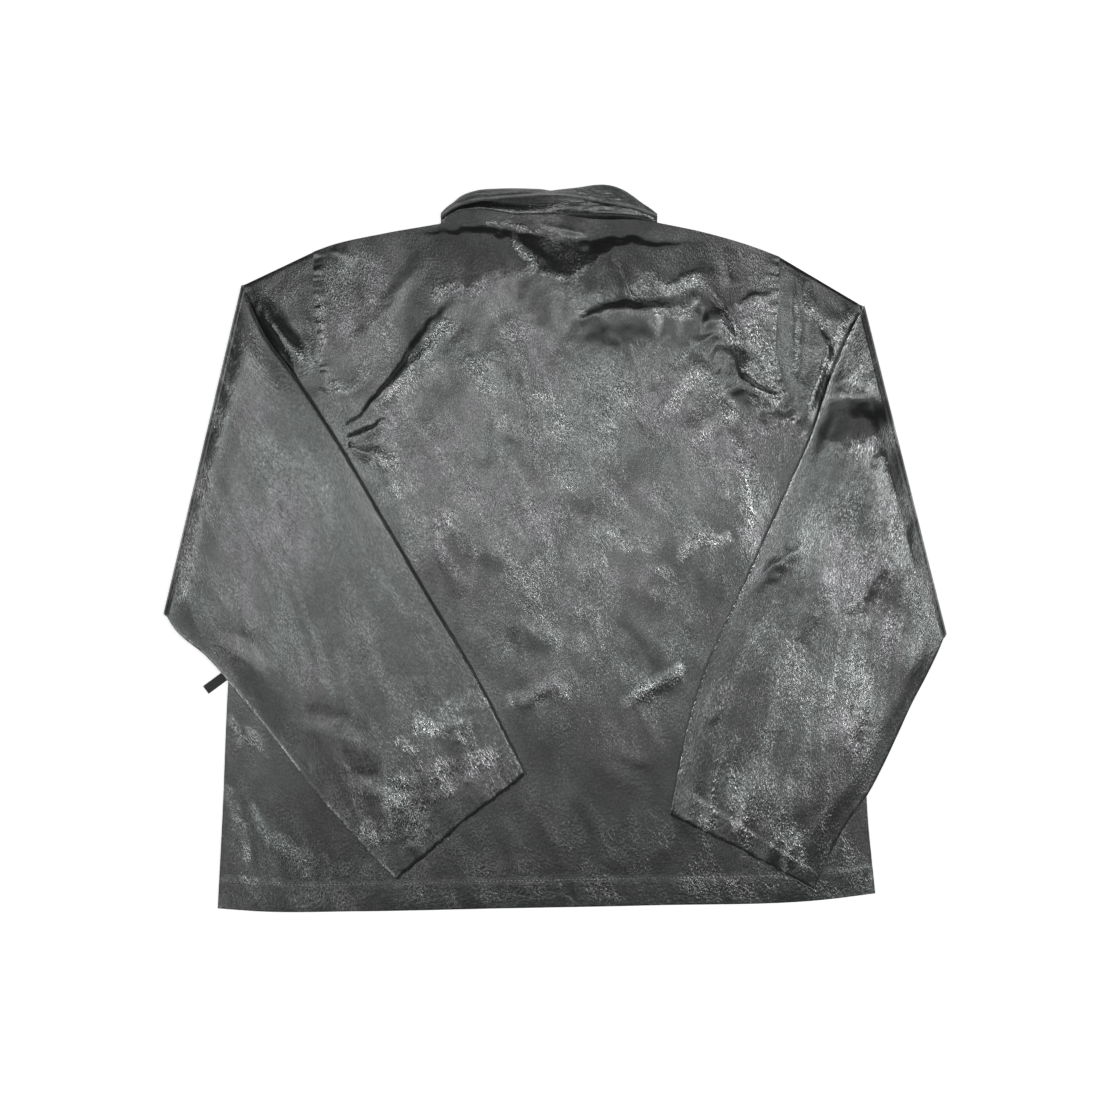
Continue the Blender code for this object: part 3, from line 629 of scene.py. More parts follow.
# patches of crumpled cloth, which also get painted sheen, or of smoothed cloth with painted shade where less
# than none: both ends, reach and strength
backCrumpleAndSheen = [
    (-150, 120, -100, 0, 62, 0.30), (0, 150, 40, -10, 84, 0.32), (120, 150, 150, 30, 70, 0.28),
    (-224, 262, -196, 200, 40, 0.28), (200, 270, 214, 210, 46, 0.30), (-10, -60, 80, -120, 70, 0.24),
    (-280, -325, 280, -325, 70, 0.18), (-330, -350, 320, -340, 16, 0.26), (-336, -332, -270, -334, 4, 0.7),
    (-106, 227, -175, 146, 7, 1.0), (-150, 164, -126, 178, 14, 0.7), (-74, 180, -60, 188, 14, 0.8),
    (-50, 212, -30, 213, 11, 0.8), (-39, 203, -20, 156, 7, 0.7), (-68, 169, 5, 146, 11, 0.7),
    (-48, 125, 5, 108, 15, 0.9), (-176, 92, -160, 84, 10, 0.9), (-166, 52, -146, 66, 13, 0.8),
    (-114, 35, -79, 0, 7, 0.9), (-119, 25, -114, -11, 5, 0.6), (-189, 183, -222, 156, 7, 0.7),
    (-23, 93, 5, 70, 11, 0.6), (10, 124, 14, 67, 12, 0.9), (46, 163, 58, 105, 14, 0.5),
    (110, 137, 131, 166, 6, 0.9), (139, 108, 176, 135, 9, 1.0), (145, 144, 171, 144, 12, 0.8),
    (173, 112, 196, 25, 7, 0.9), (56, 14, 94, 8, 12, 0.9), (126, -1, 166, 17, 8, 1.0),
    (39, 13, 48, -12, 5, 0.7), (90, -24, 112, -18, 12, 0.5), (20, 228, 30, 236, 7, 0.9),
    (112, 259, 143, 274, 8, 1.0), (100, 251, 127, 236, 9, 1.0), (147, 271, 152, 251, 5, 0.6),
    (158, 247, 181, 213, 6, 0.9), (138, 204, 167, 218, 6, 1.0), (167, 218, 183, 207, 8, 0.9),
    (192, 241, 210, 232, 12, 0.8), (198, 221, 222, 181, 8, 1.0), (200, 182, 224, 167, 12, 0.9),
    (105, 173, 135, 199, 6, 0.8), (120, 157, 143, 181, 7, 0.8), (143, 179, 166, 152, 9, 0.8),
    (20, 210, 66, 149, 16, 0.6), (74, 211, 91, 209, 8, 0.6), (-69, 322, -17, 320, 4, 0.6),
    (-39, 309, -13, 275, 4, 0.8), (-13, 273, 20, 271, 4, 0.8), (18, 277, 42, 288, 6, 0.9),
    (-8, 300, 26, 288, 9, 0.5), (-48, 267, -21, 282, 6, 0.8), (-79, 253, -56, 277, 8, 0.6),
    (-109, 250, -95, 256, 8, 0.7), (86, 264, 122, 254, 14, 0.7), (-200, 290, -180, 262, 16, 0.5),
    (-60, -4, -20, -40, 16, 0.5), (-10, -70, 20, -90, 18, 0.5), (74, -149, 126, -118, 8, 0.9),
    (-34, -156, 10, -138, 10, 0.6), (30, -60, 60, -90, 20, 0.5), (-335, -242, -310, -304, 6, 0.9),
    (-20, 40, 0, 20, 16, 0.4), (-300, -266, -246, -318, 9, 0.6), (-324, -172, -316, -186, 6, 0.7),
    (-304, -184, -286, -200, 6, 0.5), (223, 255, 221, 196, 4, 0.9), (221, 196, 233, 156, 5, 0.8),
    (-240, 255, -236, 190, 4, 0.6), (-20, 205, 60, 140, 50, 0.40), (-44, 222, -22, 147, 6, 0.6),
    (-2, 214, 15, 169, 6, 0.6), (61, 289, 100, 252, 2.5, 0.5), (30, 219, 150, 216, 17, -0.95),
    (-34, 258, 4, 226, 20, -0.95), (62, -6, 95, -31, 14, -0.6), (5, 54, 21, 42, 10, -0.5),
]


def roughShare(plan, strokes, base):
    share = np.full(plan.shape[:-1], base)
    ragged = plan
    for warp in cloth["patchWarps"]:
        ragged = warped(ragged, *warp)
    for x0, y0, x1, y1, reach, strength in strokes:
        start, run = np.array([x0, y0]) * mm, np.array([x1 - x0, y1 - y0]) * mm
        t = np.clip((ragged - start) @ run / max(run @ run, mm**2), 0.0, 1.0)
        far = np.linalg.norm(ragged - start - t[..., None] * run, axis=-1)
        fall = bell(far, reach * mm, cloth["patchPowers"][reach > cloth["crispReach"]])
        if strength > 0:
            share = np.maximum(share, base + (1 - base) * strength * fall)
        else:
            share = share * (1 + strength * fall)
    return share


def seamPucker(plan, seam, seed):      # short wrinkles that run away from a seam
    size, depth, reach = back["pucker"]
    flat = plan.reshape(-1, 2)
    pucker = np.zeros(len(flat))
    near = indexNear(flat, seam, 3 * reach)
    far, side, share = nearPath(flat[near], seam[::4])      # every fourth point is enough
    run = share * runAlong(seam)[-1]
    wave = softNoise(np.stack([run, far * back["puckerStretch"]], axis=1), size, seed)
    pucker[near] = depth * wave * bell(far, reach)
    return pucker.reshape(plan.shape[:-1])


def backMiddle(plan):
    across = np.clip(np.abs(plan[..., 0]) / back["halfWidth"], 0.0, 1.0)
    down = np.clip(np.abs(plan[..., 1]) / back["halfLength"], 0.0, 1.0)
    return (1 - across ** back["rimPower"]) * (1 - down ** back["rimPower"])


def neckRise(plan):
    fromEnd = back["neckHalfWidth"] - np.abs(plan[..., 0] - back["neckMiddle"])
    above = (plan[..., 1] - back["neckStart"]) / (back["neckEnd"] - back["neckStart"])
    return back["neckRise"] * smoothStep(fromEnd / back["neckEase"]) * smoothStep(above)


def backPlain(plan):
    return back["rimTop"] + back["swell"] * backMiddle(plan) + neckRise(plan)


def backTop(plan):
    ragged = warped(plan, *back["ragged"])
    detail = creaseLift(ragged, backCreases) + facetLift(ragged, neckFold)
    upper = smoothStep((plan[..., 1] - back["livelyLow"]) / back["livelyEase"])
    calm = back["calmShare"]
    lively = calm + (1 - calm) * upper * bell(plan[..., 0], back["livelyHalf"])
    for size, depth, seed in back["undulation"]:
        detail = detail + depth * lively * stretchedNoise(plan, back["stretch"], size, seed)
    size, depth, seed = back["crumple"]
    detail = detail + depth * roughShare(plan, backCrumpleAndSheen, cloth["plainShare"]) * crumple(plan, size, seed)
    height = backPlain(plan) + detail * backMiddle(plan)
    for seam, seed in back["puckerSeeds"].items():
        height = height + seamPucker(plan, edges[seam], seed)
    return np.maximum(height, back["rimTop"] - back["rimSlack"])


def makeBack():
    plan = coonsGrid(
        joined(edges["shoulderLeft"], edges["neck"], edges["shoulderRight"]),
        edges["hem"],
        joined(edges["armholeLeft"], edges["sideLeft"]),
        joined(edges["armholeRight"], edges["sideRight"]),
    )
    aboveHem = plan[..., 1] - plan[-1:, :, 1]
    ply = back["hemStep"] * (1 - smoothStep((aboveHem - back["hemDepth"]) / back["hemEase"] + 0.5))
    reach, depth = back["hemPull"]
    pull = depth * bell(aboveHem - back["hemDepth"], reach)
    rows = withHeight(plan, backTop(plan) + ply + pull * stretchedNoise(plan, *back["hemWave"]))
    # the same patches paint sheen into the colour where crumpled and shade where smoothed
    share = roughShare(plan, backCrumpleAndSheen, back["grain"])
    return shellPiece("back_cloth", rows, cloth["wall"], bodyNylon, plan, share), rows


backCloth, backRows = makeBack()
print("back made,", len(backCloth.data.polygons), "faces")

# the two sleeves: each section has its overarm and underarm ends, from the turn to the cuff
sleeveShared = {
    "capRings": 30,
    "turnRings": 12,
    "forearmRings": 216,
    "shownPoints": 128,
    "hiddenPoints": 78,
    "edgeAngles": np.radians([18.0, 36.0, 54.0, 72.0]),
    "edgeMargin": 1.2,      # where the flat of a ring starts, beside the width of its round edge
    "ringWidth": 0.33,      # across the cap and the turn, on the cloth
    "capLength": 0.12,
    "turnLength": 0.016,
    "capRagged": (8 * mm, 1.5 * mm, 91),      # size, reach and seed
    "capNoise": (20 * mm, 0.3 * mm, 92),      # size, depth and seed
    "capCrumple": (11 * mm, 0.25 * mm, 93),
    "capEdge": 0.04,      # share of the width in which the creases set in
    "capEnd": 0.25,      # share of the length in which they fade towards the turn
    "mostDip": 0.6 * mm,
    "ragged": (9 * mm, 2.0 * mm, 96),
    "crumple": (12 * mm, 97),
    "creaseStart": 26 * mm,      # past the turn
    "leastRise": 0.2 * mm,      # of the tube's upper side over its lower one
    "cuffRings": 60,
    "cuffDepth": 23 * mm,
    "rimRun": ((-90 * mm, 80 * mm), (120 * mm, 40 * mm)),      # start and length of a fold's steep rim, in y
    "cuffRoll": (3.2 * mm, 1.9 * mm),      # width and height
    "casingEase": 5 * mm,
    "gatherLength": 85 * mm,
    "gatherStretch": 0.22,
    "gatherSeed": 95,
    "waveLength": 12 * mm,
    "waves": ((15 * mm, 1.0, 98), (5 * mm, 0.45, 99)),      # size, share and seed
}
leftSleeve = {
    "armhole": "armholeLeft",
    "facets": [],
    "fold": [(-313, 264), (-391, -65)],
    "forearm": [(-312, 264, -389, -63), (-289, 214, -378, -81), (-254, 166, -349, -106),
                (-211, 100, -319, -140), (-170, 30, -280, -188), (-123, -50, -239, -241),
                (-81, -121, -205, -280), (-28, -224, -158, -330)],
    "outward": -1,
    "turnDepth": 4.0 * mm,
    "turnHeight": 3.2 * mm,
    "settle": 46 * mm,
    "roll": (16 * mm, 1.7 * mm, 26 * mm),      # width, height and where it ends
    "grain": 0.29,
    "edgeEase": 40 * mm,
    # overarm and underarm: width, depth and power
    "bevel": ((3.4 * mm, 1.45 * mm, 1), (2.4 * mm, -0.45 * mm, 1)),
    "foldRim": (10 * mm, 0.0, 40 * mm),
    # the edge that gets a painted highlight line
    "litEdge": "underarm",
    "cuffStep": 0.06 * mm,
    "edgeRounding": (1.4, 0.35),      # overarm and underarm edges
    "swell": 1.3 * mm,
    "gathers": (9 * mm, 0.3 * mm),
    "cuffWave": 1.7 * mm,
    "undulation": ((90 * mm, 0.9 * mm, 71), (34 * mm, 0.20 * mm, 72), (17 * mm, 0.08 * mm, 73)),
    "crumpleDepth": 0.30 * mm,
    "creases": [
        (-0.6, [(-342, -78, 14, 14), (-311, -90, 15, 15), (-293, -103, 16, 14), (-280, -117, 14, 14)]),
        (0.3, [(-340, -92, 16, 16), (-312, -108, 18, 16), (-290, -128, 18, 16)]),
        (-0.5, [(-258, -167, 10, 16), (-231, -163, 10, 18), (-206, -172, 10, 18), (-174, -196, 10, 16)]),
        (0.25, [(-276, -186, 16, 18), (-236, -180, 14, 18), (-204, -192, 14, 18), (-176, -214, 14, 16)]),
        (-0.5, [(-212, -221, 8, 14), (-191, -225, 9, 15), (-165, -235, 9, 15), (-140, -249, 8, 14)]),
        (0.2, [(-206, -236, 12, 14), (-176, -243, 12, 14), (-148, -258, 12, 12)]),
        (0.35, [(-172, -14, 8, 20), (-158, -18, 8, 20), (-148, -24, 8, 18)]),
        (0.35, [(-148, -66, 6, 16), (-128, -70, 7, 18), (-112, -72, 6, 16)]),
        (0.5, [(-122, -178, 6, 12), (-100, -174, 7, 14), (-70, -172, 6, 12)]),
    ],
    # patches of crumpled cloth, which also get painted sheen in the colour
    "rough": [(-104, -160, -72, -150, 9, 0.8), (-134, -176, -96, -178, 11, 0.9),
              (-150, -194, -140, -200, 7, 0.8), (-130, -222, -66, -206, 12, 0.8),
              (-190, -240, -130, -226, 9, 0.5), (-170, -252, -120, -240, 10, 0.6),
              (-184, -282, -130, -262, 12, 0.7), (-150, -296, -140, -280, 9, 0.7),
              (-110, -236, -84, -226, 9, 0.8), (-318, 240, -380, -40, 13, 0.8),
              (-190, -250, -90, -200, 60, 0.16)],
    "capCreases": [
        (6.5, [(-309, 260, 14, 6, 0.3), (-284, 226, 20, 11), (-268, 202, 20, 11), (-252, 173, 18, 7, 0.7)]),
        (-1.4, [(-284, 238, 5, 7), (-267, 222, 6, 8), (-250, 209, 5, 7)]),
        (1.2, [(-247, 236, 6, 5), (-240, 214, 6, 5), (-239, 186, 6, 5)]),
    ],
}
rightFold = {      # the dent below the right sleeve's turn
    "cuts": [(236, 128, 138, 0.0, 0.0), (258, 122, 141, 2.0, 0.4), (264, 115, 146, 3.6, 0.9),
             (278, 103, 150, 5.9, 2.6), (291, 97, 150.5, 6.8, 4.0), (302, 102, 148, 6.4, 3.8),
             (311, 109, 147, 5.4, 3.3), (325, 119, 150, 3.8, 2.3), (337, 128, 155, 2.4, 1.5),
             (348, 138, 153, 1.2, 0.7), (362, 143, 150, 0.4, 0.2), (378, 145, 150, 0.0, 0.0)],
    "ease": 110 * mm,
    "recovery": 18 * mm,
    "rounding": 1.0 * mm,
}
rightSleeve = {
    "armhole": "armholeRight",
    "facets": [rightFold],
    "fold": [(309, 243), (391, -85)],
    "forearm": [(308, 243, 389, -83), (291, 210, 384, -96), (275, 172, 370, -126), (255, 113, 356, -153),
                (229, 55, 341, -186), (197, -16, 327, -216), (167, -79, 311, -246), (140, -148, 291, -274),
                (114, -265, 258, -340)],
    "outward": 1,
    "turnDepth": 4.4 * mm,
    "turnHeight": 3.6 * mm,
    "settle": 92 * mm,
    "roll": (50 * mm, 2.4 * mm, 62 * mm),
    "grain": 0.34,
    "edgeEase": 26 * mm,
    "bevel": ((2.4 * mm, -0.45 * mm, 1), (5 * mm, 0.3 * mm, 2)),
    "foldRim": (11 * mm, 3.6 * mm, 46 * mm),
    # the edge that gets a painted highlight line
    "litEdge": "overarm",
    "cuffStep": 0.35 * mm,
    "edgeRounding": (0.35, 0.35),
    "swell": 1.0 * mm,
    "gathers": (20 * mm, 1.7 * mm),
    "cuffWave": 1.2 * mm,
    "undulation": ((80 * mm, 0.9 * mm, 81), (30 * mm, 0.28 * mm, 82), (16 * mm, 0.12 * mm, 83)),
    "crumpleDepth": 0.18 * mm,
    "creases": [
        (1.3, [(312, 84, 4, 12), (328, 94, 5, 14), (346, 102, 4, 12)]),
        (1.6, [(190, -41, 8, 14), (214, -20, 9, 16), (246, 6, 8, 14)]),
        (1.5, [(292, -66, 12, 14), (316, -30, 12, 16), (328, 4, 12, 14)]),
        (1.4, [(298, -190, 12, 14), (304, -160, 12, 14), (300, -120, 12, 14)]),
        (1.2, [(240, -90, 16, 18), (262, -40, 16, 20), (276, 10, 16, 18)]),
        (0.4, [(142, -158, 7, 10), (156, -168, 8, 10), (162, -156, 7, 9)]),
    ],
    # patches of crumpled cloth with painted sheen; the last, less than none, smooths the dent and paints
    # shade into it
    "rough": [(296, 190, 306, 176, 30, 0.5), (258, 236, 272, 224, 6, 1.0), (280, 98, 330, 112, 16, 1.0),
              (336, 70, 372, -60, 26, 1.0), (312, 30, 330, -30, 30, 0.8), (310, -60, 320, -90, 30, 0.7),
              (300, -120, 300, -190, 22, 0.7), (140, -240, 240, -300, 30, 0.4),
              (250, -100, 270, -140, 40, 0.4), (270, 124, 330, 137, 17, -0.85)],
    "capCreases": [
        (1.5, [(243, 282, 4, 17), (239, 256, 4, 17), (241, 216, 4, 17), (239, 182, 4, 15)]),
        (1.1, [(251, 274, 5, 6), (246, 258, 5, 6), (250, 236, 5, 6)]),
        (2.2, [(300, 246, 8, 26, 0.6), (284, 219, 8, 30), (272, 196, 6, 28), (262, 168, 7, 20)]),
        (2.3, [(261, 231, 3, 10), (265, 215, 5, 12), (271, 200, 5, 12), (277, 187, 3, 10)]),
        (1.3, [(300, 238, 8, 10), (286, 226, 8, 12), (268, 234, 8, 12)]),
        (1.0, [(232, 196, 5, 6), (242, 168, 5, 6), (252, 150, 5, 5)]),
        (3.8, [(273, 186, 3, 18, 0.4), (264, 167, 6, 20), (255, 147, 8, 16), (250, 128, 6, 10, 0.7)]),
    ],
}


def ringPlan(section, rounding):
    # Places round one ring along a section of points, with height off its middle and share of the way across.
    # The hidden side comes first.
    hidden, shown = (
        np.linspace(0.0, 1.0, sleeveShared[count] + 2)[1:-1] for count in ("hiddenPoints", "shownPoints")
    )
    angles = sleeveShared["edgeAngles"]
    length = np.linalg.norm(section[-1] - section[0])
    nearOver, nearUnder = (share * halfTube * (1 - np.cos(angles)) / length for share in rounding)
    offNear = halfTube * np.sin(angles)
    first, last = (sleeveShared["edgeMargin"] * near[-1] for near in (nearOver, nearUnder))

    def side(inner):
        inner = first + (1 - first - last) * inner
        share = np.concatenate([nearOver, inner, 1 - nearUnder[::-1]])
        off = np.concatenate([offNear, np.full(len(inner), halfTube), offNear[::-1]])
        return share, off

    hiddenShare, hiddenOff = side(hidden)
    shownShare, shownOff = side(shown)
    share = np.concatenate([[0.0], hiddenShare, [1.0], shownShare[::-1]])
    off = np.concatenate([[0.0], hiddenOff, [0.0], -shownOff[::-1]])
    stations = np.linspace(0.0, 1.0, len(section))
    plan = np.stack([np.interp(share, stations, section[:, axis]) for axis in (0, 1)], axis=1)
    return plan, off, share


def ringPlaces(across, along):      # on the cloth, for its pattern
    return np.stack([across, np.full(len(across), along)], axis=1)


def foldFrame(sleeve):      # ends of the fold, drawn in by the tube's half thickness, and the way out of it
    start, end = np.array(sleeve["fold"]) * mm
    run = (end - start) / np.linalg.norm(end - start)
    out = np.array([run[1], -run[0]])
    out = out * math.copysign(1.0, out[0] * sleeve["outward"])
    return start - halfTube * out, end - halfTube * out, out


def capRings(sleeve, start, end):      # from the armhole seam to where the turn starts
    armhole = edges[sleeve["armhole"]]
    share = np.linspace(0.0, 1.0, len(armhole))[:, None]
    line = (1 - share) * start + share * end
    lapShare = -cloth["seamGap"] / np.linalg.norm(line - armhole, axis=1).min()
    for step in np.linspace(lapShare, 1.0, sleeveShared["capRings"] + 1):
        plan, off, across = ringPlan((1 - step) * armhole + step * line, sleeve["edgeRounding"])
        puff = creaseLift(warped(plan, *sleeveShared["capRagged"]), sleeve["capCreases"])
        for kind, name in ((softNoise, "capNoise"), (crumple, "capCrumple")):
            size, depth, seed = sleeveShared[name]
            puff = puff + depth * kind(plan, size, seed)
        belly = smoothStep(across / sleeveShared["capEdge"]) * smoothStep((1 - step) / sleeveShared["capEnd"])
        lift = np.where(off > 0, np.maximum(puff * belly, -sleeveShared["mostDip"]), 0.0)
        places = ringPlaces(across * sleeveShared["ringWidth"], -sleeveShared["capLength"] * (1 - step))
        yield withHeight(plan, halfTube + off + lift), places


def turnRings(sleeve, corner, elbow, out, before, after):      # the tube goes up and over at the fold
    for angle in np.linspace(0.0, math.pi, sleeveShared["turnRings"] + 2)[1:-1]:
        first, last = before if angle < math.pi / 2 else after
        drawn = 1 - math.sin(angle)
        section = np.array([corner + drawn * (first - corner), elbow + drawn * (last - elbow)])
        plan, off, across = ringPlan(section, sleeve["edgeRounding"])
        height = halfTube + sleeve["turnHeight"] * (1 - math.cos(angle)) + off * math.cos(angle)
        places = ringPlaces(across * sleeveShared["ringWidth"], sleeveShared["turnLength"] * angle / math.pi)
        yield withHeight(plan - (off * math.sin(angle))[:, None] * out, height), places


def forearmCreases(sleeve, plan):
    ragged = warped(plan, *sleeveShared["ragged"])
    creases = creaseLift(ragged, sleeve["creases"])
    for facet in sleeve["facets"]:
        creases = creases + facetLift(ragged, facet)
    for size, depth, seed in sleeve["undulation"]:
        creases = creases + depth * softNoise(plan, size, seed)
    rough = roughShare(plan, sleeve["rough"], cloth["plainShare"])
    return creases + sleeve["crumpleDepth"] * rough * crumple(plan, *sleeveShared["crumple"])


def foldAir(sleeve, plan, fromFold):      # the puffed roll along the fold, and its steep rim
    rollWidth, rollHeight, rollEnd = sleeve["roll"]
    rimWidth, rimHeight, rimEnd = sleeve["foldRim"]
    roll = rollHeight * rounded(fromFold, rollWidth) * bell(fromFold, rollEnd, 4)
    rim = rimHeight * rounded(fromFold, rimWidth, 1) * bell(fromFold, rimEnd, 4)
    low, high = (smoothStep((plan[:, 1] - start) / length) for start, length in sleeveShared["rimRun"])
    return roll + rim * low * (1 - high)


def cuffLift(sleeve, across, toCuff, nearCuff):      # gathers, and the step at the casing
    size, depth = sleeve["gathers"]
    at = ringPlaces(across, toCuff * sleeveShared["gatherStretch"])
    gather = depth * nearCuff * (1 - np.abs(softNoise(at, size, sleeveShared["gatherSeed"])) * 2)
    past = (toCuff - sleeveShared["cuffDepth"]) / sleeveShared["casingEase"] + 0.5
    return gather + sleeve["cuffStep"] * (1 - smoothStep(past))


def cuffRuffle(sleeve, across, toCuff):      # how far the cuff's edge wanders
    at = ringPlaces(across, 0.0)
    ruffle = sum(share * softNoise(at, size, seed) for size, share, seed in sleeveShared["waves"])
    return sleeve["cuffWave"] * ruffle * (1 - smoothStep(toCuff / sleeveShared["waveLength"]))


def layerHeight(below, turned, settle):      # of a tube's middle, from the turn down to what it lies on
    rest = np.maximum(below, 2 * halfTube) + cloth["layerGap"] + halfTube
    return (1 - settle) * np.maximum(turned, rest) + settle * rest


def forearmRings(sleeve, corner, out, over, under):      # from the turn to the cuff, on the back and the cap
    middle = (over + under) / 2
    runs = runAlong(middle)
    cuffWay = (middle[-1] - middle[-2]) / np.linalg.norm(middle[-1] - middle[-2])
    turned = halfTube + 2 * sleeve["turnHeight"]
    turnIn, turnDown = sleeveShared["cuffRoll"]
    for start, end, run in zip(over, under, runs):
        plan, off, share = ringPlan(np.array([start, end]), sleeve["edgeRounding"])
        width = np.linalg.norm(end - start)
        across, toCuff = share * width, runs[-1] - run
        pastTurn = (corner - plan) @ out - sleeve["turnDepth"]
        settle = smoothStep(pastTurn / sleeve["settle"])
        lower, upper = (layerHeight(below(plan), turned, settle) for below in (backTop, backPlain))
        nearCuff = 1 - smoothStep(toCuff / sleeveShared["gatherLength"])
        air = sleeve["swell"] * settle * (1 - nearCuff) + foldAir(sleeve, plan, np.maximum(pastTurn, 0.0))
        creases = smoothStep(run / sleeveShared["creaseStart"]) * forearmCreases(sleeve, plan)
        belly = smoothStep(np.minimum(share, 1 - share) * width / sleeve["edgeEase"])
        lift = belly * (air + cuffLift(sleeve, across, toCuff, nearCuff) + creases)
        for part, (bevelWidth, depth, power) in zip((share, 1 - share), sleeve["bevel"]):
            lift = lift + depth * rounded(part * width, bevelWidth, power) * (1 - smoothStep(part))
        lift = lift + turnDown * rounded(toCuff, turnIn)
        top = np.maximum(upper + lift, lower + sleeveShared["leastRise"]) - off
        plan = plan + cuffRuffle(sleeve, across, toCuff)[:, None] * cuffWay
        places = ringPlaces(across, sleeveShared["turnLength"] + run)
        yield withHeight(plan, np.where(off < 0, top, lower - off)), places


def sleeveRows(sleeve):
    corner, elbow, out = foldFrame(sleeve)
    depth = sleeve["turnDepth"]
    armhole = edges[sleeve["armhole"]]
    table = np.array(sleeve["forearm"], float) * mm
    count = sleeveShared["forearmRings"]

    def drawnIn(inside, fold):      # where the turn starts on the way to the fold's end
        return fold + (inside - fold) * depth / ((fold - inside) @ out)

    def pastTurn(path, fold):      # the rest of a side edge, from where the turn ends
        inside = (fold - path) @ out
        return evenly(path[int(np.argmax(inside >= depth)):], count)

    before = drawnIn(armhole[0], corner), drawnIn(armhole[-1], elbow)
    over = pastTurn(curveThrough(table[:, 0:2], 4 * count), corner)
    under = pastTurn(curveThrough(table[:, 2:4], 4 * count), elbow)
    rings = [
        *capRings(sleeve, *before),
        *turnRings(sleeve, corner, elbow, out, before, (over[0], under[0])),
        *forearmRings(sleeve, corner, out, over, under),
    ]
    return np.array([ring for ring, _ in rings]), np.array([places for _, places in rings])


def makeSleeve(name, sleeve):
    rows, places = sleeveRows(sleeve)
    # the crumple share also paints sheen into the sleeve's colour
    share = roughShare(rows[..., :2], sleeve["rough"], sleeve["grain"])
    angles = len(sleeveShared["edgeAngles"])
    half = sleeveShared["hiddenPoints"] + 2 * angles + 1
    total = rows.shape[1]
    underarm, overarm = range(half - 1, half + angles + 1), range(total - angles, total + 2)
    # painted highlight: the lit edge's columns take the full crumple share, which lightens the colour along
    # it
    lit = underarm if sleeve["litEdge"] == "underarm" else overarm
    share[:, [column % total for column in lit]] = 1.0
    keepCols = [      # both edges keep all their points on the hidden side
        *range(0, angles + 2),
        *range(half - angles - 1, half + angles + 2),
        *range(total - angles - 1, total),
    ]
    firstTurn = sleeveShared["capRings"] + 1
    keepRows = range(firstTurn - 1, firstTurn + sleeveShared["turnRings"] + 2)
    piece = shellPiece(name, rows, cloth["wall"], sleeveNylon, places, share, True, keepCols, keepRows)
    return piece, rows


sleeveLeft, leftRows = makeSleeve("sleeve_left_cloth", leftSleeve)
sleeveRight, rightRows = makeSleeve("sleeve_right_cloth", rightSleeve)
print("sleeves made,", len(sleeveLeft.data.polygons), len(sleeveRight.data.polygons), "faces")

# the collar: a low stand behind the back neck, and a leaf that turns over at the roll and stands off it
collar = {
    # x, free edge y and z, roll y and z, and how far the stand puffs up in front of the leaf
    "cuts": [(-114, 330.0, 8.5, 335.0, 6.0, 0.0), (-109, 333.0, 11.0, 340.0, 7.0, 0.0),
             (-101, 338.0, 14.0, 346.0, 8.0, -1.2), (-94, 341.0, 15.5, 351.5, 8.5, -1.7),
             (-79, 344.5, 18.0, 357.0, 9.3, -1.8), (-55, 347.0, 20.5, 359.0, 10.0, -1.8),
             (-25, 349.0, 21.5, 358.8, 11.0, -1.7), (-11, 350.0, 21.5, 358.0, 11.0, -1.0),
             (-5, 350.0, 21.5, 356.8, 11.0, 0.2), (2, 350.0, 21.5, 357.6, 11.0, 1.8),
             (25, 347.0, 21.0, 360.2, 11.0, 5.6), (41, 344.5, 20.0, 362.6, 10.5, 6.8),
             (52, 343.0, 19.0, 362.6, 10.0, 7.0), (69, 340.0, 16.5, 357.2, 9.3, 6.2),
             (78, 338.0, 15.0, 351.4, 8.8, 5.2), (86, 335.5, 13.5, 345.5, 8.2, 4.0),
             (96, 332.0, 10.5, 339.0, 7.0, 2.2), (102, 330.0, 8.5, 334.5, 6.0, 0.6)],
    "tableSteps": 200,
    "troughShare": 0.45,
    "troughHeight": 3.4 * mm,
    "standSteps": 20,
    "leafSteps": 96,
    "rimWidth": 1.6 * mm,
    "rimDrop": 1.3 * mm,
    "bead": (2.0 * mm, 1.0 * mm, 0.7 * mm),      # place, half width and height of the rolled edge
    "stitchIn": 5.0 * mm,
    "stitchDip": (1.0 * mm, 0.3 * mm),      # half width and depth
    "wrinkle": 0.5 * mm,
    "calmWrinkle": 0.3,      # share of it where the stand isn't puffed up
    "standNoise": ((0.3, 1.4), 4 * mm, 101),      # stretch, size and seed
    "leafNoise": ((0.25, 1.5), 4 * mm, 102),
    "crumpled": (40 * mm, 26 * mm),      # place and half width, in x, of the leaf's crumpled stretch
    "crumple": (6 * mm, 1.4, 103),      # size, share and seed
    "upperStart": (0.5, 0.2),      # where the leaf's wrinkles set in, and over how much of its run
    "standGrain": 0.5,
    "leafGrain": 0.4,
    "lap": 1.6 * mm,      # of the stand under the back's neck edge
    "mostPuff": 7 * mm,
    "lip": 2.1 * mm,      # of the stand over its foot, where it isn't puffed up
    "lipShare": (0.22, 0.10),      # of the way to the trough, and how much more where it is
    "lipDrop": 0.9 * mm,      # below the trough, where it is
    "farLift": 0.3 * mm,
}


def collarColumns(neck):      # y and z of the free edge, the roll and the trough along the neck, and the puff
    table = curveThrough(np.array(collar["cuts"], float) * mm, collar["tableSteps"])
    columns = [np.interp(neck[:, 0], table[:, 0], column) for column in table[:, 1:].T]
    edge, roll, puff = np.stack(columns[0:2], axis=1), np.stack(columns[2:4], axis=1), columns[4]
    troughY = neck[:, 1] + collar["troughShare"] * (roll[:, 0] - neck[:, 1])
    return edge, roll, np.stack([troughY, collar["troughHeight"] + puff], axis=1), puff


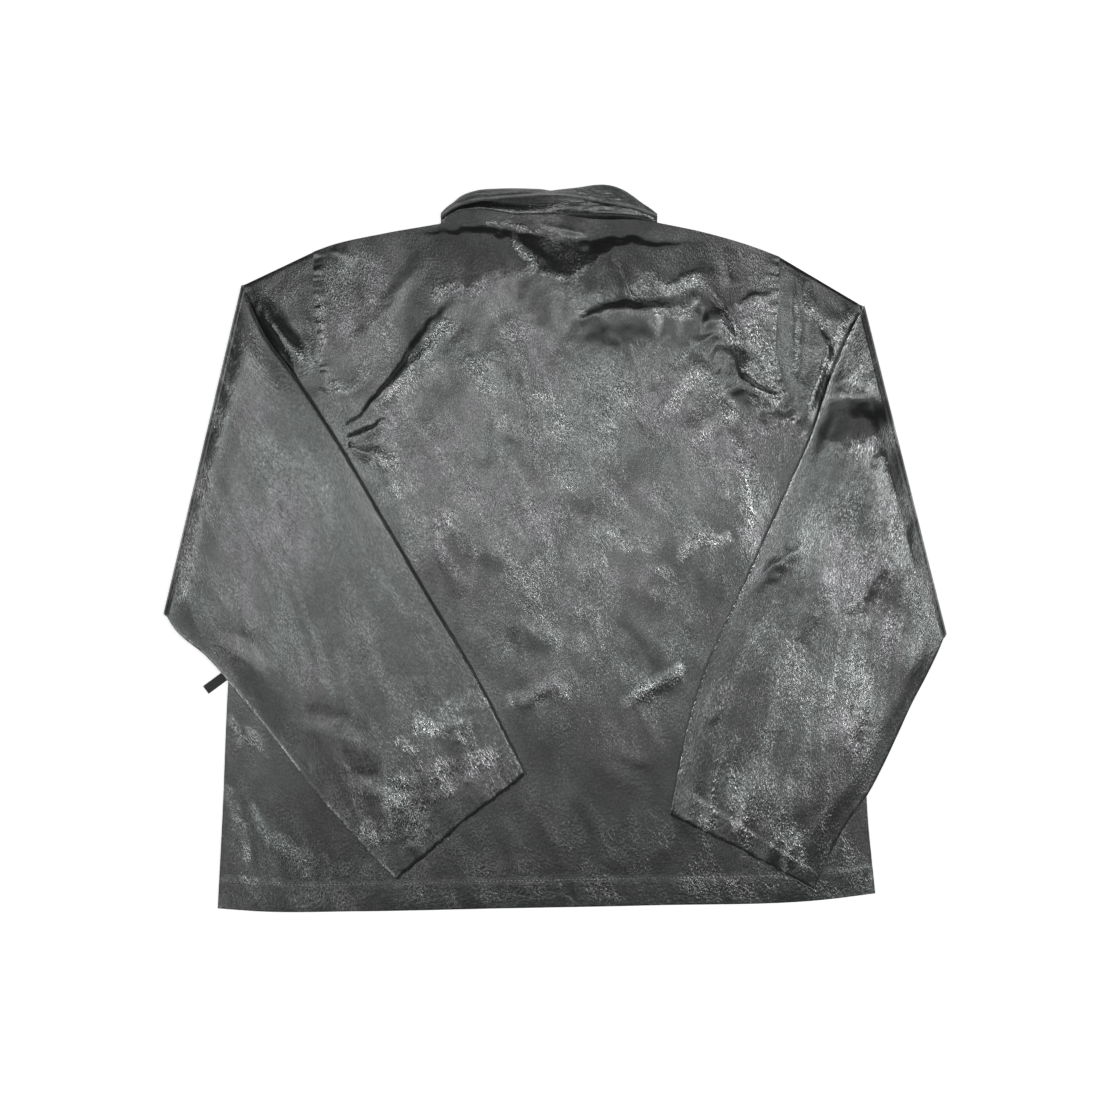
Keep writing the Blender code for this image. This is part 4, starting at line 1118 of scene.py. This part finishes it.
def profileRows(xs, profiles, steps):      # rows along the neck, each through the same share of every profile
    cuts = [
        np.concatenate([np.full((steps + 1, 1), x), curveThrough(profile, steps)], axis=1)
        for x, profile in zip(xs, profiles)
    ]
    return np.array(cuts).transpose(1, 0, 2)


def collarPlaces(rows):      # on the cloth, for its pattern
    along = np.concatenate([[0.0], np.cumsum(np.linalg.norm(np.diff(rows, axis=0), axis=2).mean(axis=1))])
    return np.stack([rows[..., 0], np.broadcast_to(along[:, None], rows.shape[:2])], axis=-1)


def lineAt(rows, toEdge, depth, columns):      # a wall's points at one distance from its edge, for stitches
    return np.array([
        [np.interp(-depth, -toEdge[:, column], rows[:, column, axis]) for axis in range(3)]
        for column in columns
    ])


def makeStand():
    neck = edges["neck"]
    edge, roll, trough, puff = collarColumns(neck)
    troughY, troughZ = trough.T
    footY = neck[:, 1] - collar["lap"]
    footZ = backTop(neck) - cloth["wall"] - cloth["seamGap"]
    puffed = np.clip(puff / collar["mostPuff"], 0.0, 1.0)
    lipShare, lipMore = collar["lipShare"]
    lipY = footY + (lipShare + lipMore * puffed) * (troughY - footY)
    lipZ = (1 - puffed) * (footZ + collar["lip"]) + puffed * (troughZ - collar["lipDrop"])
    farY = troughY + collar["lap"] * 2
    farZ = np.maximum(troughZ - cloth["seamGap"], cloth["wall"] + collar["farLift"])
    knots = ((farY, farZ), (troughY, troughZ), (lipY, lipZ), (footY, footZ))
    profiles = np.stack([np.stack(knot, axis=1) for knot in knots], axis=1)
    rows = profileRows(neck[:, 0], profiles, collar["standSteps"])
    inside = np.sin(np.linspace(0.0, math.pi, len(rows)))[:, None]
    wrinkle = collar["wrinkle"] * (collar["calmWrinkle"] + (1 - collar["calmWrinkle"]) * puffed) * inside
    rows[..., 2] += wrinkle * stretchedNoise(rows[..., :2], *collar["standNoise"])
    share = np.full(rows.shape[:2], collar["standGrain"])
    return shellPiece(
        "collar_stand_cloth", rows, cloth["standWall"], standNylon, collarPlaces(rows), share,
        outward=(0, 0.3, 1),
    )


def makeLeaf():
    neck = edges["neck"]
    edge, roll, trough, puff = collarColumns(neck)
    start = trough + np.array([cloth["seamGap"] + cloth["collarWall"] / 2, 0.0])
    rows = profileRows(neck[:, 0], np.stack([start, roll, edge], axis=1), collar["leafSteps"])
    steps = np.linalg.norm(np.diff(rows, axis=0), axis=2)
    toEdge = np.concatenate([np.cumsum(steps[::-1], axis=0)[::-1], np.zeros((1, len(neck)))])
    upperStart, upperRun = collar["upperStart"]
    upper = smoothStep((np.linspace(0.0, 1.0, len(rows)) - upperStart) / upperRun)[:, None]
    crumpledPlace, crumpledWidth = collar["crumpled"]
    crumpled = bell(rows[..., 0] - crumpledPlace, crumpledWidth)
    size, crumpleShare, seed = collar["crumple"]
    wrinkles = stretchedNoise(rows[..., :2], *collar["leafNoise"])
    wrinkles = wrinkles + crumpleShare * crumpled * crumple(rows[..., :2], size, seed)
    rows[..., 2] += collar["wrinkle"] * upper * wrinkles
    rows[..., 2] -= collar["rimDrop"] * (1 - rounded(toEdge, collar["rimWidth"]))
    beadPlace, beadWidth, beadHeight = collar["bead"]
    rows[..., 2] += beadHeight * bell(toEdge - beadPlace, beadWidth)
    dipWidth, dipDepth = collar["stitchDip"]
    rows[..., 2] -= dipDepth * bell(toEdge - collar["stitchIn"], dipWidth)
    # the crumpled stretch also gets more painted sheen in the colour
    share = collar["leafGrain"] + (1 - collar["leafGrain"]) * crumpled
    piece = shellPiece(
        "collar_leaf_cloth", rows, cloth["collarWall"], collarNylon, collarPlaces(rows), share,
        outward=(0, 1, 0.5),
    )
    return piece, lineAt(rows, toEdge, collar["stitchIn"], range(2, len(neck) - 2))


stand = makeStand()
leaf, leafStitchLine = makeLeaf()
print("collar made")

# the two fronts lie on the surface under the back, with the collar's front ends and the closed zip
front = {
    "centre": -5 * mm,
    "zipWidth": 7 * mm,
    "neckDrop": 85 * mm,
    "collarHeight": 70 * mm,
    "collarEnd": 14 * mm,
    "shoulderSteps": 26,
    "neckSteps": 40,
    "armholeSteps": 44,
    "sideSteps": 56,
    "collarRows": 26,
    "grain": 0.45,
    "bedHeight": 0.04 * mm,
    "undulation": (60 * mm, 0.18 * mm, 111),      # size, depth and seed
    "mostLift": 0.9 * mm,
    "troughs": [      # shallow creases of the underside
        (0.9, [(-220, 210, 22, 14), (-170, 150, 24, 14), (-130, 70, 22, 12)]),
        (0.7, [(-290, -60, 16, 20), (-230, -90, 16, 22), (-150, -100, 14, 20)]),
        (0.8, [(-90, 190, 18, 12), (-70, 100, 18, 12), (-80, 0, 16, 12)]),
        (0.6, [(-260, -210, 18, 12), (-200, -250, 18, 12), (-110, -270, 16, 12)]),
        (0.9, [(190, 230, 14, 22), (150, 160, 14, 24), (120, 60, 12, 22)]),
        (0.7, [(60, 150, 16, 12), (74, 60, 16, 12), (60, -40, 14, 12)]),
        (0.8, [(280, -40, 18, 14), (210, -90, 20, 14), (130, -110, 18, 12)]),
        (0.6, [(230, -220, 14, 18), (150, -260, 14, 18), (60, -240, 12, 16)]),
    ],
}


def frontNeckline(neckPoint, centreX, steps):
    turn = np.linspace(0.0, math.pi / 2, steps + 1)
    x = centreX + (neckPoint[0] - centreX) * np.cos(turn)
    return np.stack([x, neckPoint[1] - front["neckDrop"] * np.sin(turn)], axis=1)


def zipEdge(sign):
    return front["centre"] + sign * (front["zipWidth"] / 2 + cloth["seamGap"])


def underside(plan):
    size, depth, seed = front["undulation"]
    lift = creaseLift(plan, front["troughs"]) + depth * (1 + softNoise(plan, size, seed))
    return front["bedHeight"] + np.minimum(lift, front["mostLift"]) * backMiddle(plan)


def frontPiece(name, plan):
    rows = withHeight(plan, underside(plan))
    share = np.full(rows.shape[:2], front["grain"])
    wall = cloth["wall"] - front["bedHeight"]
    return shellPiece(name, rows, wall, bodyNylon, plan, share, outward=(0, 0, -1))


def makeFront(side, sign):
    shoulder, armhole, sideEdge = (
        curveThrough(np.array(bodyEdges[edge + side]) * mm, front[edge + "Steps"])
        for edge in ("shoulder", "armhole", "side")
    )
    shoulder = shoulder[::-sign]
    neckline = frontNeckline(shoulder[-1], zipEdge(sign), front["neckSteps"])
    hem = edges["hem"]
    hemStart = hem[0, 0] if sign < 0 else hem[-1, 0]
    hemX = np.linspace(hemStart, zipEdge(sign), len(shoulder) + front["neckSteps"])
    bottom = np.stack([hemX, np.interp(hemX, hem[:, 0], hem[:, 1])], axis=1)
    outer = joined(armhole, sideEdge)
    centre = evenly(np.array([neckline[-1], bottom[-1]]), len(outer) - 1)
    plan = coonsGrid(joined(shoulder, neckline), bottom, outer, centre)
    return frontPiece("front_" + side.lower() + "_cloth", plan)


def makeFrontCollar(side, sign):
    neckPoint = edges["neck"][0 if sign < 0 else -1]
    lower = frontNeckline(neckPoint, zipEdge(sign), front["neckSteps"])[2:]
    lower = lower + np.array([0.0, 2 * cloth["seamGap"]])
    rise = np.linspace(front["collarEnd"], front["collarHeight"], len(lower))
    up = np.linspace(0.0, 1.0, front["collarRows"])[:, None]
    plan = np.stack([np.broadcast_to(lower[:, 0], (len(up), len(lower))), lower[:, 1] + up * rise], axis=-1)
    return frontPiece("collar_front_" + side.lower() + "_cloth", plan)


sides = (("Left", -1), ("Right", 1))
fronts = [makeFront(*side) for side in sides]
frontCollars = [makeFrontCollar(*side) for side in sides]
print("fronts made")


def hostMesh(name, path):      # an open chain of edges, for a tree that works along it
    mesh = bpy.data.meshes.new(name + "_path")
    links = [(step, step + 1) for step in range(len(path) - 1)]
    mesh.from_pydata([tuple(point) for point in path], links, [])
    return newObject(name + "_path", mesh)


def newTree(name, sizes):
    tree = bpy.data.node_groups.new(name, "GeometryNodeTree")
    tree.interface.new_socket("Geometry", in_out="INPUT", socket_type="NodeSocketGeometry")
    for label in sizes:
        tree.interface.new_socket(label, in_out="INPUT", socket_type="NodeSocketFloat")
    tree.interface.new_socket("Finish", in_out="INPUT", socket_type="NodeSocketMaterial")
    tree.interface.new_socket("Geometry", in_out="OUTPUT", socket_type="NodeSocketGeometry")
    return tree, newNode(tree, "NodeGroupInput"), newNode(tree, "NodeGroupOutput")


def alongPath(tree, given, spacing):      # points at even spacing on the chain, each with its direction
    toCurve = newNode(tree, "GeometryNodeMeshToCurve", {"Mesh": given.outputs["Geometry"]})
    resample = newNode(tree, "GeometryNodeResampleCurve", {
        "Curve": toCurve.outputs["Curve"], "Length": given.outputs[spacing],
    }, mode="LENGTH")
    toPoints = newNode(tree, "GeometryNodeCurveToPoints", {
        "Curve": resample.outputs["Curve"],
    }, mode="EVALUATED")
    align = newNode(tree, "FunctionNodeAlignRotationToVector", {
        "Vector": toPoints.outputs["Tangent"],
    }, axis="X")
    return toPoints.outputs["Points"], align.outputs["Rotation"]


def shapeAt(tree, given, out, points, rotation, shape, sizes):      # at each point, realized and finished
    scale = newNode(tree, "ShaderNodeCombineXYZ", {
        axis: given.outputs[label] for axis, label in zip("XYZ", sizes)
    })
    sized = newNode(tree, "GeometryNodeTransform", {"Geometry": shape, "Scale": scale.outputs[0]})
    place = newNode(tree, "GeometryNodeInstanceOnPoints", {
        "Points": points, "Rotation": rotation, "Instance": sized.outputs["Geometry"],
    })
    realize = newNode(tree, "GeometryNodeRealizeInstances", {"Geometry": place.outputs["Instances"]})
    finish = newNode(tree, "GeometryNodeSetMaterial", {
        "Geometry": realize.outputs["Geometry"], "Material": given.outputs["Finish"],
    })
    fill(tree, out, {"Geometry": finish.outputs["Geometry"]})


def stitchTree():
    tree, given, out = newTree("stitchRow", ("Spacing", "Length", "Width", "Height"))
    points, rotation = alongPath(tree, given, "Spacing")
    ball = newNode(tree, "GeometryNodeMeshUVSphere", {"Segments": 6, "Rings": 4, "Radius": 0.5})
    shapeAt(tree, given, out, points, rotation, ball.outputs["Mesh"], ("Length", "Width", "Height"))
    return tree


def toothTree():      # teeth of a closed zip, one from each tape in turn
    tree, given, out = newTree("zipTeeth", ("Pitch", "Thickness", "Reach", "Height", "Shift"))
    points, rotation = alongPath(tree, given, "Pitch")
    index = newNode(tree, "GeometryNodeInputIndex").outputs[0]
    side = timesPlus(tree, mathNode(tree, "MODULO", index, 2.0), 2.0, -1.0)
    shift = mathNode(tree, "MULTIPLY", side, given.outputs["Shift"])
    sideways = newNode(tree, "ShaderNodeCombineXYZ", {"X": shift})
    move = newNode(tree, "GeometryNodeSetPosition", {"Geometry": points, "Offset": sideways.outputs[0]})
    block = newNode(tree, "GeometryNodeMeshCube", {
        "Size": (1.0, 1.0, 1.0), "Vertices X": 2, "Vertices Y": 2, "Vertices Z": 2,
    })
    sizes = ("Thickness", "Reach", "Height")
    shapeAt(tree, given, out, move.outputs["Geometry"], rotation, block.outputs["Mesh"], sizes)
    return tree


def fromTree(name, tree, path, values, smooth=True):      # a plain mesh of what the tree makes along the path
    host = hostMesh(name, path)
    modifier = host.modifiers.new("make", "NODES")
    modifier.node_group = tree
    for item in tree.interface.items_tree:
        if item.in_out == "INPUT" and item.name in values:
            modifier[item.identifier] = values[item.name]
    evaluated = host.evaluated_get(bpy.context.evaluated_depsgraph_get())
    mesh = bpy.data.meshes.new_from_object(evaluated)
    mesh.name = name
    host.modifiers.remove(modifier)
    bpy.data.objects.remove(host)
    if smooth:
        mesh.shade_smooth()
    return newObject(name, mesh)


stitching = {
    "Spacing": 3.6 * mm,
    "Length": 2.5 * mm,
    "Width": 0.45 * mm,
    "Height": 0.3 * mm,
    "Finish": thread,
}
stitchRow = stitchTree()


def hemLine():      # along the top of the hem, on the back's own points
    aboveHem = backRows[..., 1] - backRows[-1:, :, 1]
    return lineAt(backRows, aboveHem, back["hemDepth"], range(2, backRows.shape[1] - 2))


def cuffLine(rows):      # round the shown side of a cuff, at the depth of its casing
    ends = rows[-sleeveShared["cuffRings"]:]
    toCuff = np.linalg.norm(ends[..., :2] - ends[-1:, :, :2], axis=2)
    angles = len(sleeveShared["edgeAngles"])
    first = sleeveShared["hiddenPoints"] + 3 * angles + 4
    return lineAt(ends, toCuff, sleeveShared["cuffDepth"], range(first, rows.shape[1] - angles - 2))


hemStitches = fromTree("hem_stitches", stitchRow, hemLine(), stitching)
leftStitches = fromTree("cuff_left_stitches", stitchRow, cuffLine(leftRows), stitching)
rightStitches = fromTree("cuff_right_stitches", stitchRow, cuffLine(rightRows), stitching)
collarStitches = fromTree("collar_stitches", stitchRow, leafStitchLine, stitching)
print("stitches made")

zipChain = {
    "tapeRows": 220,
    "tapePoints": 9,
    "tapeHeight": 0.45 * mm,      # of the tape's shown side over the surface
    "tapeThickness": 0.7 * mm,
    "toothLift": 0.05 * mm,
    "endGap": 2 * mm,
    "Pitch": 1.5 * mm,
    "Thickness": 1.05 * mm,
    "Reach": 2.4 * mm,
    "Height": 0.7 * mm,
    "Shift": 0.7 * mm,
    "Finish": zipTooth,
}


def makeZip():
    hem = edges["hem"]
    topY = edges["neck"][0, 1] - front["neckDrop"] + front["collarHeight"]
    across = front["centre"] + front["zipWidth"] / 2 * np.linspace(-1.0, 1.0, zipChain["tapePoints"])
    lowY = np.interp(across, hem[:, 0], hem[:, 1])
    down = np.linspace(0.0, 1.0, zipChain["tapeRows"])[:, None]
    tapeY = (1 - down) * topY + down * lowY
    plan = np.stack([np.broadcast_to(across, tapeY.shape), tapeY], axis=-1)
    share = np.zeros(plan.shape[:2])
    rows = withHeight(plan, zipChain["tapeHeight"])
    tape = shellPiece(
        "zip_tape_strip", rows, zipChain["tapeThickness"], zipTape, plan, share, outward=(0, 0, -1),
    )
    middle = zipChain["Height"] / 2 + zipChain["toothLift"]
    ends = (topY - zipChain["endGap"], lowY.max() + zipChain["endGap"])
    line = [(front["centre"], y, middle) for y in ends]
    return tape, fromTree("zip_teeth", toothTree(), line, zipChain, smooth=False)


zipStrip, zipTeeth = makeZip()

# a loop of ribbed tape in the left side seam
tab = {
    "tip": (-349, -141),
    "rootY": -124,
    "width": 9.5 * mm,
    "thickness": 0.8 * mm,
    "turn": 1.7 * mm,
    "lift": 0.2 * mm,
    "ribPitch": 1.15 * mm,
    "ribHeight": 0.16 * mm,
    "stepLength": 0.19 * mm,
    "turnSteps": 11,
    "acrossPoints": 9,
}


def makeTab():
    sideEdge = edges["sideLeft"]

    def seamX(y):
        return np.interp(-y, -sideEdge[:, 1], sideEdge[:, 0])

    rootY = tab["rootY"] * mm
    root = np.array([seamX(rootY), rootY])
    run = np.array(tab["tip"]) * mm - root
    length = np.linalg.norm(run)
    run = run / length
    across = np.array([-run[1], run[0]])
    straight = np.arange(0.0, length - tab["turn"], tab["stepLength"])
    turn = np.linspace(-math.pi / 2, math.pi / 2, tab["turnSteps"])[1:-1]
    far = np.concatenate([straight, straight[-1] + tab["turn"] * np.cos(turn), straight[::-1]])
    height = np.concatenate([
        np.zeros(len(straight)), tab["turn"] * (1 + np.sin(turn)), np.full(len(straight), 2 * tab["turn"]),
    ])
    rib = tab["ribHeight"] * np.abs(np.sin(math.pi * far / tab["ribPitch"]))
    dip = np.where(height > tab["turn"], -rib, rib)
    rows = []
    for shift in np.linspace(-0.5, 0.5, tab["acrossPoints"]):
        edge = root + shift * tab["width"] * across
        reach = np.maximum(far, (seamX(edge[1]) - 2 * cloth["seamGap"] - edge[0]) / run[0])
        rows.append(withHeight(edge + reach[:, None] * run, tab["lift"] + height + dip))
    rows = np.array(rows)
    share = np.zeros(rows.shape[:2])
    wall = tab["thickness"] - tab["ribHeight"]
    return shellPiece("side_tab_tape", rows, wall, ribbedTape, rows[..., :2], share, outward=(*run, 0))


sideTab = makeTab()
print("zip and tab made")

pieceTable = [
    (backCloth, "back", "shell_nylon"), (sleeveLeft, "sleeve_left", "shell_nylon"),
    (sleeveRight, "sleeve_right", "shell_nylon"), (stand, "collar_stand", "shell_nylon"),
    (leaf, "collar_leaf", "shell_nylon"), (fronts[0], "front_left", "shell_nylon"),
    (fronts[1], "front_right", "shell_nylon"), (frontCollars[0], "collar_front_left", "shell_nylon"),
    (frontCollars[1], "collar_front_right", "shell_nylon"), (zipStrip, "front_zip", "zip_tape"),
    (zipTeeth, None, "zip_tape"), (sideTab, "side_tab", "ribbed_tape"),
    (hemStitches, None, "shell_nylon"), (leftStitches, None, "shell_nylon"),
    (rightStitches, None, "shell_nylon"), (collarStitches, None, "shell_nylon"),
]
for piece, node, slot in pieceTable:
    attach(piece, "root")
    if node:
        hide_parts(node)

studio = {
    "floorSize": 30.0,
    "floorDrop": 0.4 * mm,
    "floorColour": (0.92, 0.92, 0.92, 1.0),
    "floorGlow": 0.65,
    "lamps": {      # width and depth, place, and power
        "softbox": ((1.55, 1.40), (-0.14, -0.02, 2.7), 6.2),
        "key": ((0.45, 0.45), (0.06, 0.34, 2.68), 3.4),
        "sideKey": ((0.45, 0.45), (-0.55, 0.04, 2.68), 1.2),
        "rightLamp": ((0.9, 0.66), (1.42, -0.03, 2.68), 21.0),
        "leftLamp": ((0.5, 0.5), (-1.25, 0.0, 2.68), 6.0),
        "lowLamp": ((0.5, 0.5), (-1.25, -1.15, 2.68), 3.5),
        "farLamp": ((1.7, 0.22), (0.10, 1.22, 2.68), 2.6),
    },
    "room": (0.25, 0.62, 0.55, 0.025),      # heights from horizon to zenith, and the light's strength at each
    "white": (1.0, 1.0, 1.0, 1.0),
    "cameraHeight": 2.4,
    "frameWidth": 1.1,
    "frameCentre": (-0.005, -0.001),
}


def makeFloor():
    half, z = studio["floorSize"] / 2, -studio["floorDrop"]
    mesh = bpy.data.meshes.new("floor")
    corners = [(-half, -half, z), (half, -half, z), (half, half, z), (-half, half, z)]
    mesh.from_pydata(corners, [], [(0, 1, 2, 3)])
    pale, tree, shader = newMaterial("paleFloor")
    fill(tree, shader, {
        "Base Color": studio["floorColour"], "Roughness": 1.0, "Specular IOR Level": 0.0,
        "Emission Color": studio["white"], "Emission Strength": studio["floorGlow"],
    })
    mesh.materials.append(pale)
    newObject("floor", mesh)


def makeLamps():
    for name, (size, place, power) in studio["lamps"].items():
        lamp = bpy.data.lights.new(name, "AREA")
        lamp.shape = "RECTANGLE"
        lamp.size, lamp.size_y = size
        lamp.energy = power
        newObject(name, lamp).location = place


def makeRoom():      # soft light all round, stronger from the sides than from above
    world = bpy.data.worlds.new("studioRoom")
    bpy.context.scene.world = world
    world.use_nodes = True
    tree = world.node_tree
    coords = newNode(tree, "ShaderNodeTexCoord")
    split = newNode(tree, "ShaderNodeSeparateXYZ", {"Vector": coords.outputs["Generated"]})
    strength = rampNode(tree, split.outputs["Z"], studio["room"], smooth=True)
    fill(tree, tree.nodes["Background"], {"Color": studio["white"], "Strength": strength})


def makeCamera():
    lens = bpy.data.cameras.new("camera")
    lens.sensor_fit = "HORIZONTAL"
    lens.lens = lens.sensor_width * studio["cameraHeight"] / studio["frameWidth"]
    camera = newObject("camera", lens)
    camera.location = (*studio["frameCentre"], studio["cameraHeight"])
    bpy.context.scene.camera = camera
    bpy.context.scene.view_settings.view_transform = "Standard"


makeFloor()
makeLamps()
makeRoom()
makeCamera()
print("studio made")
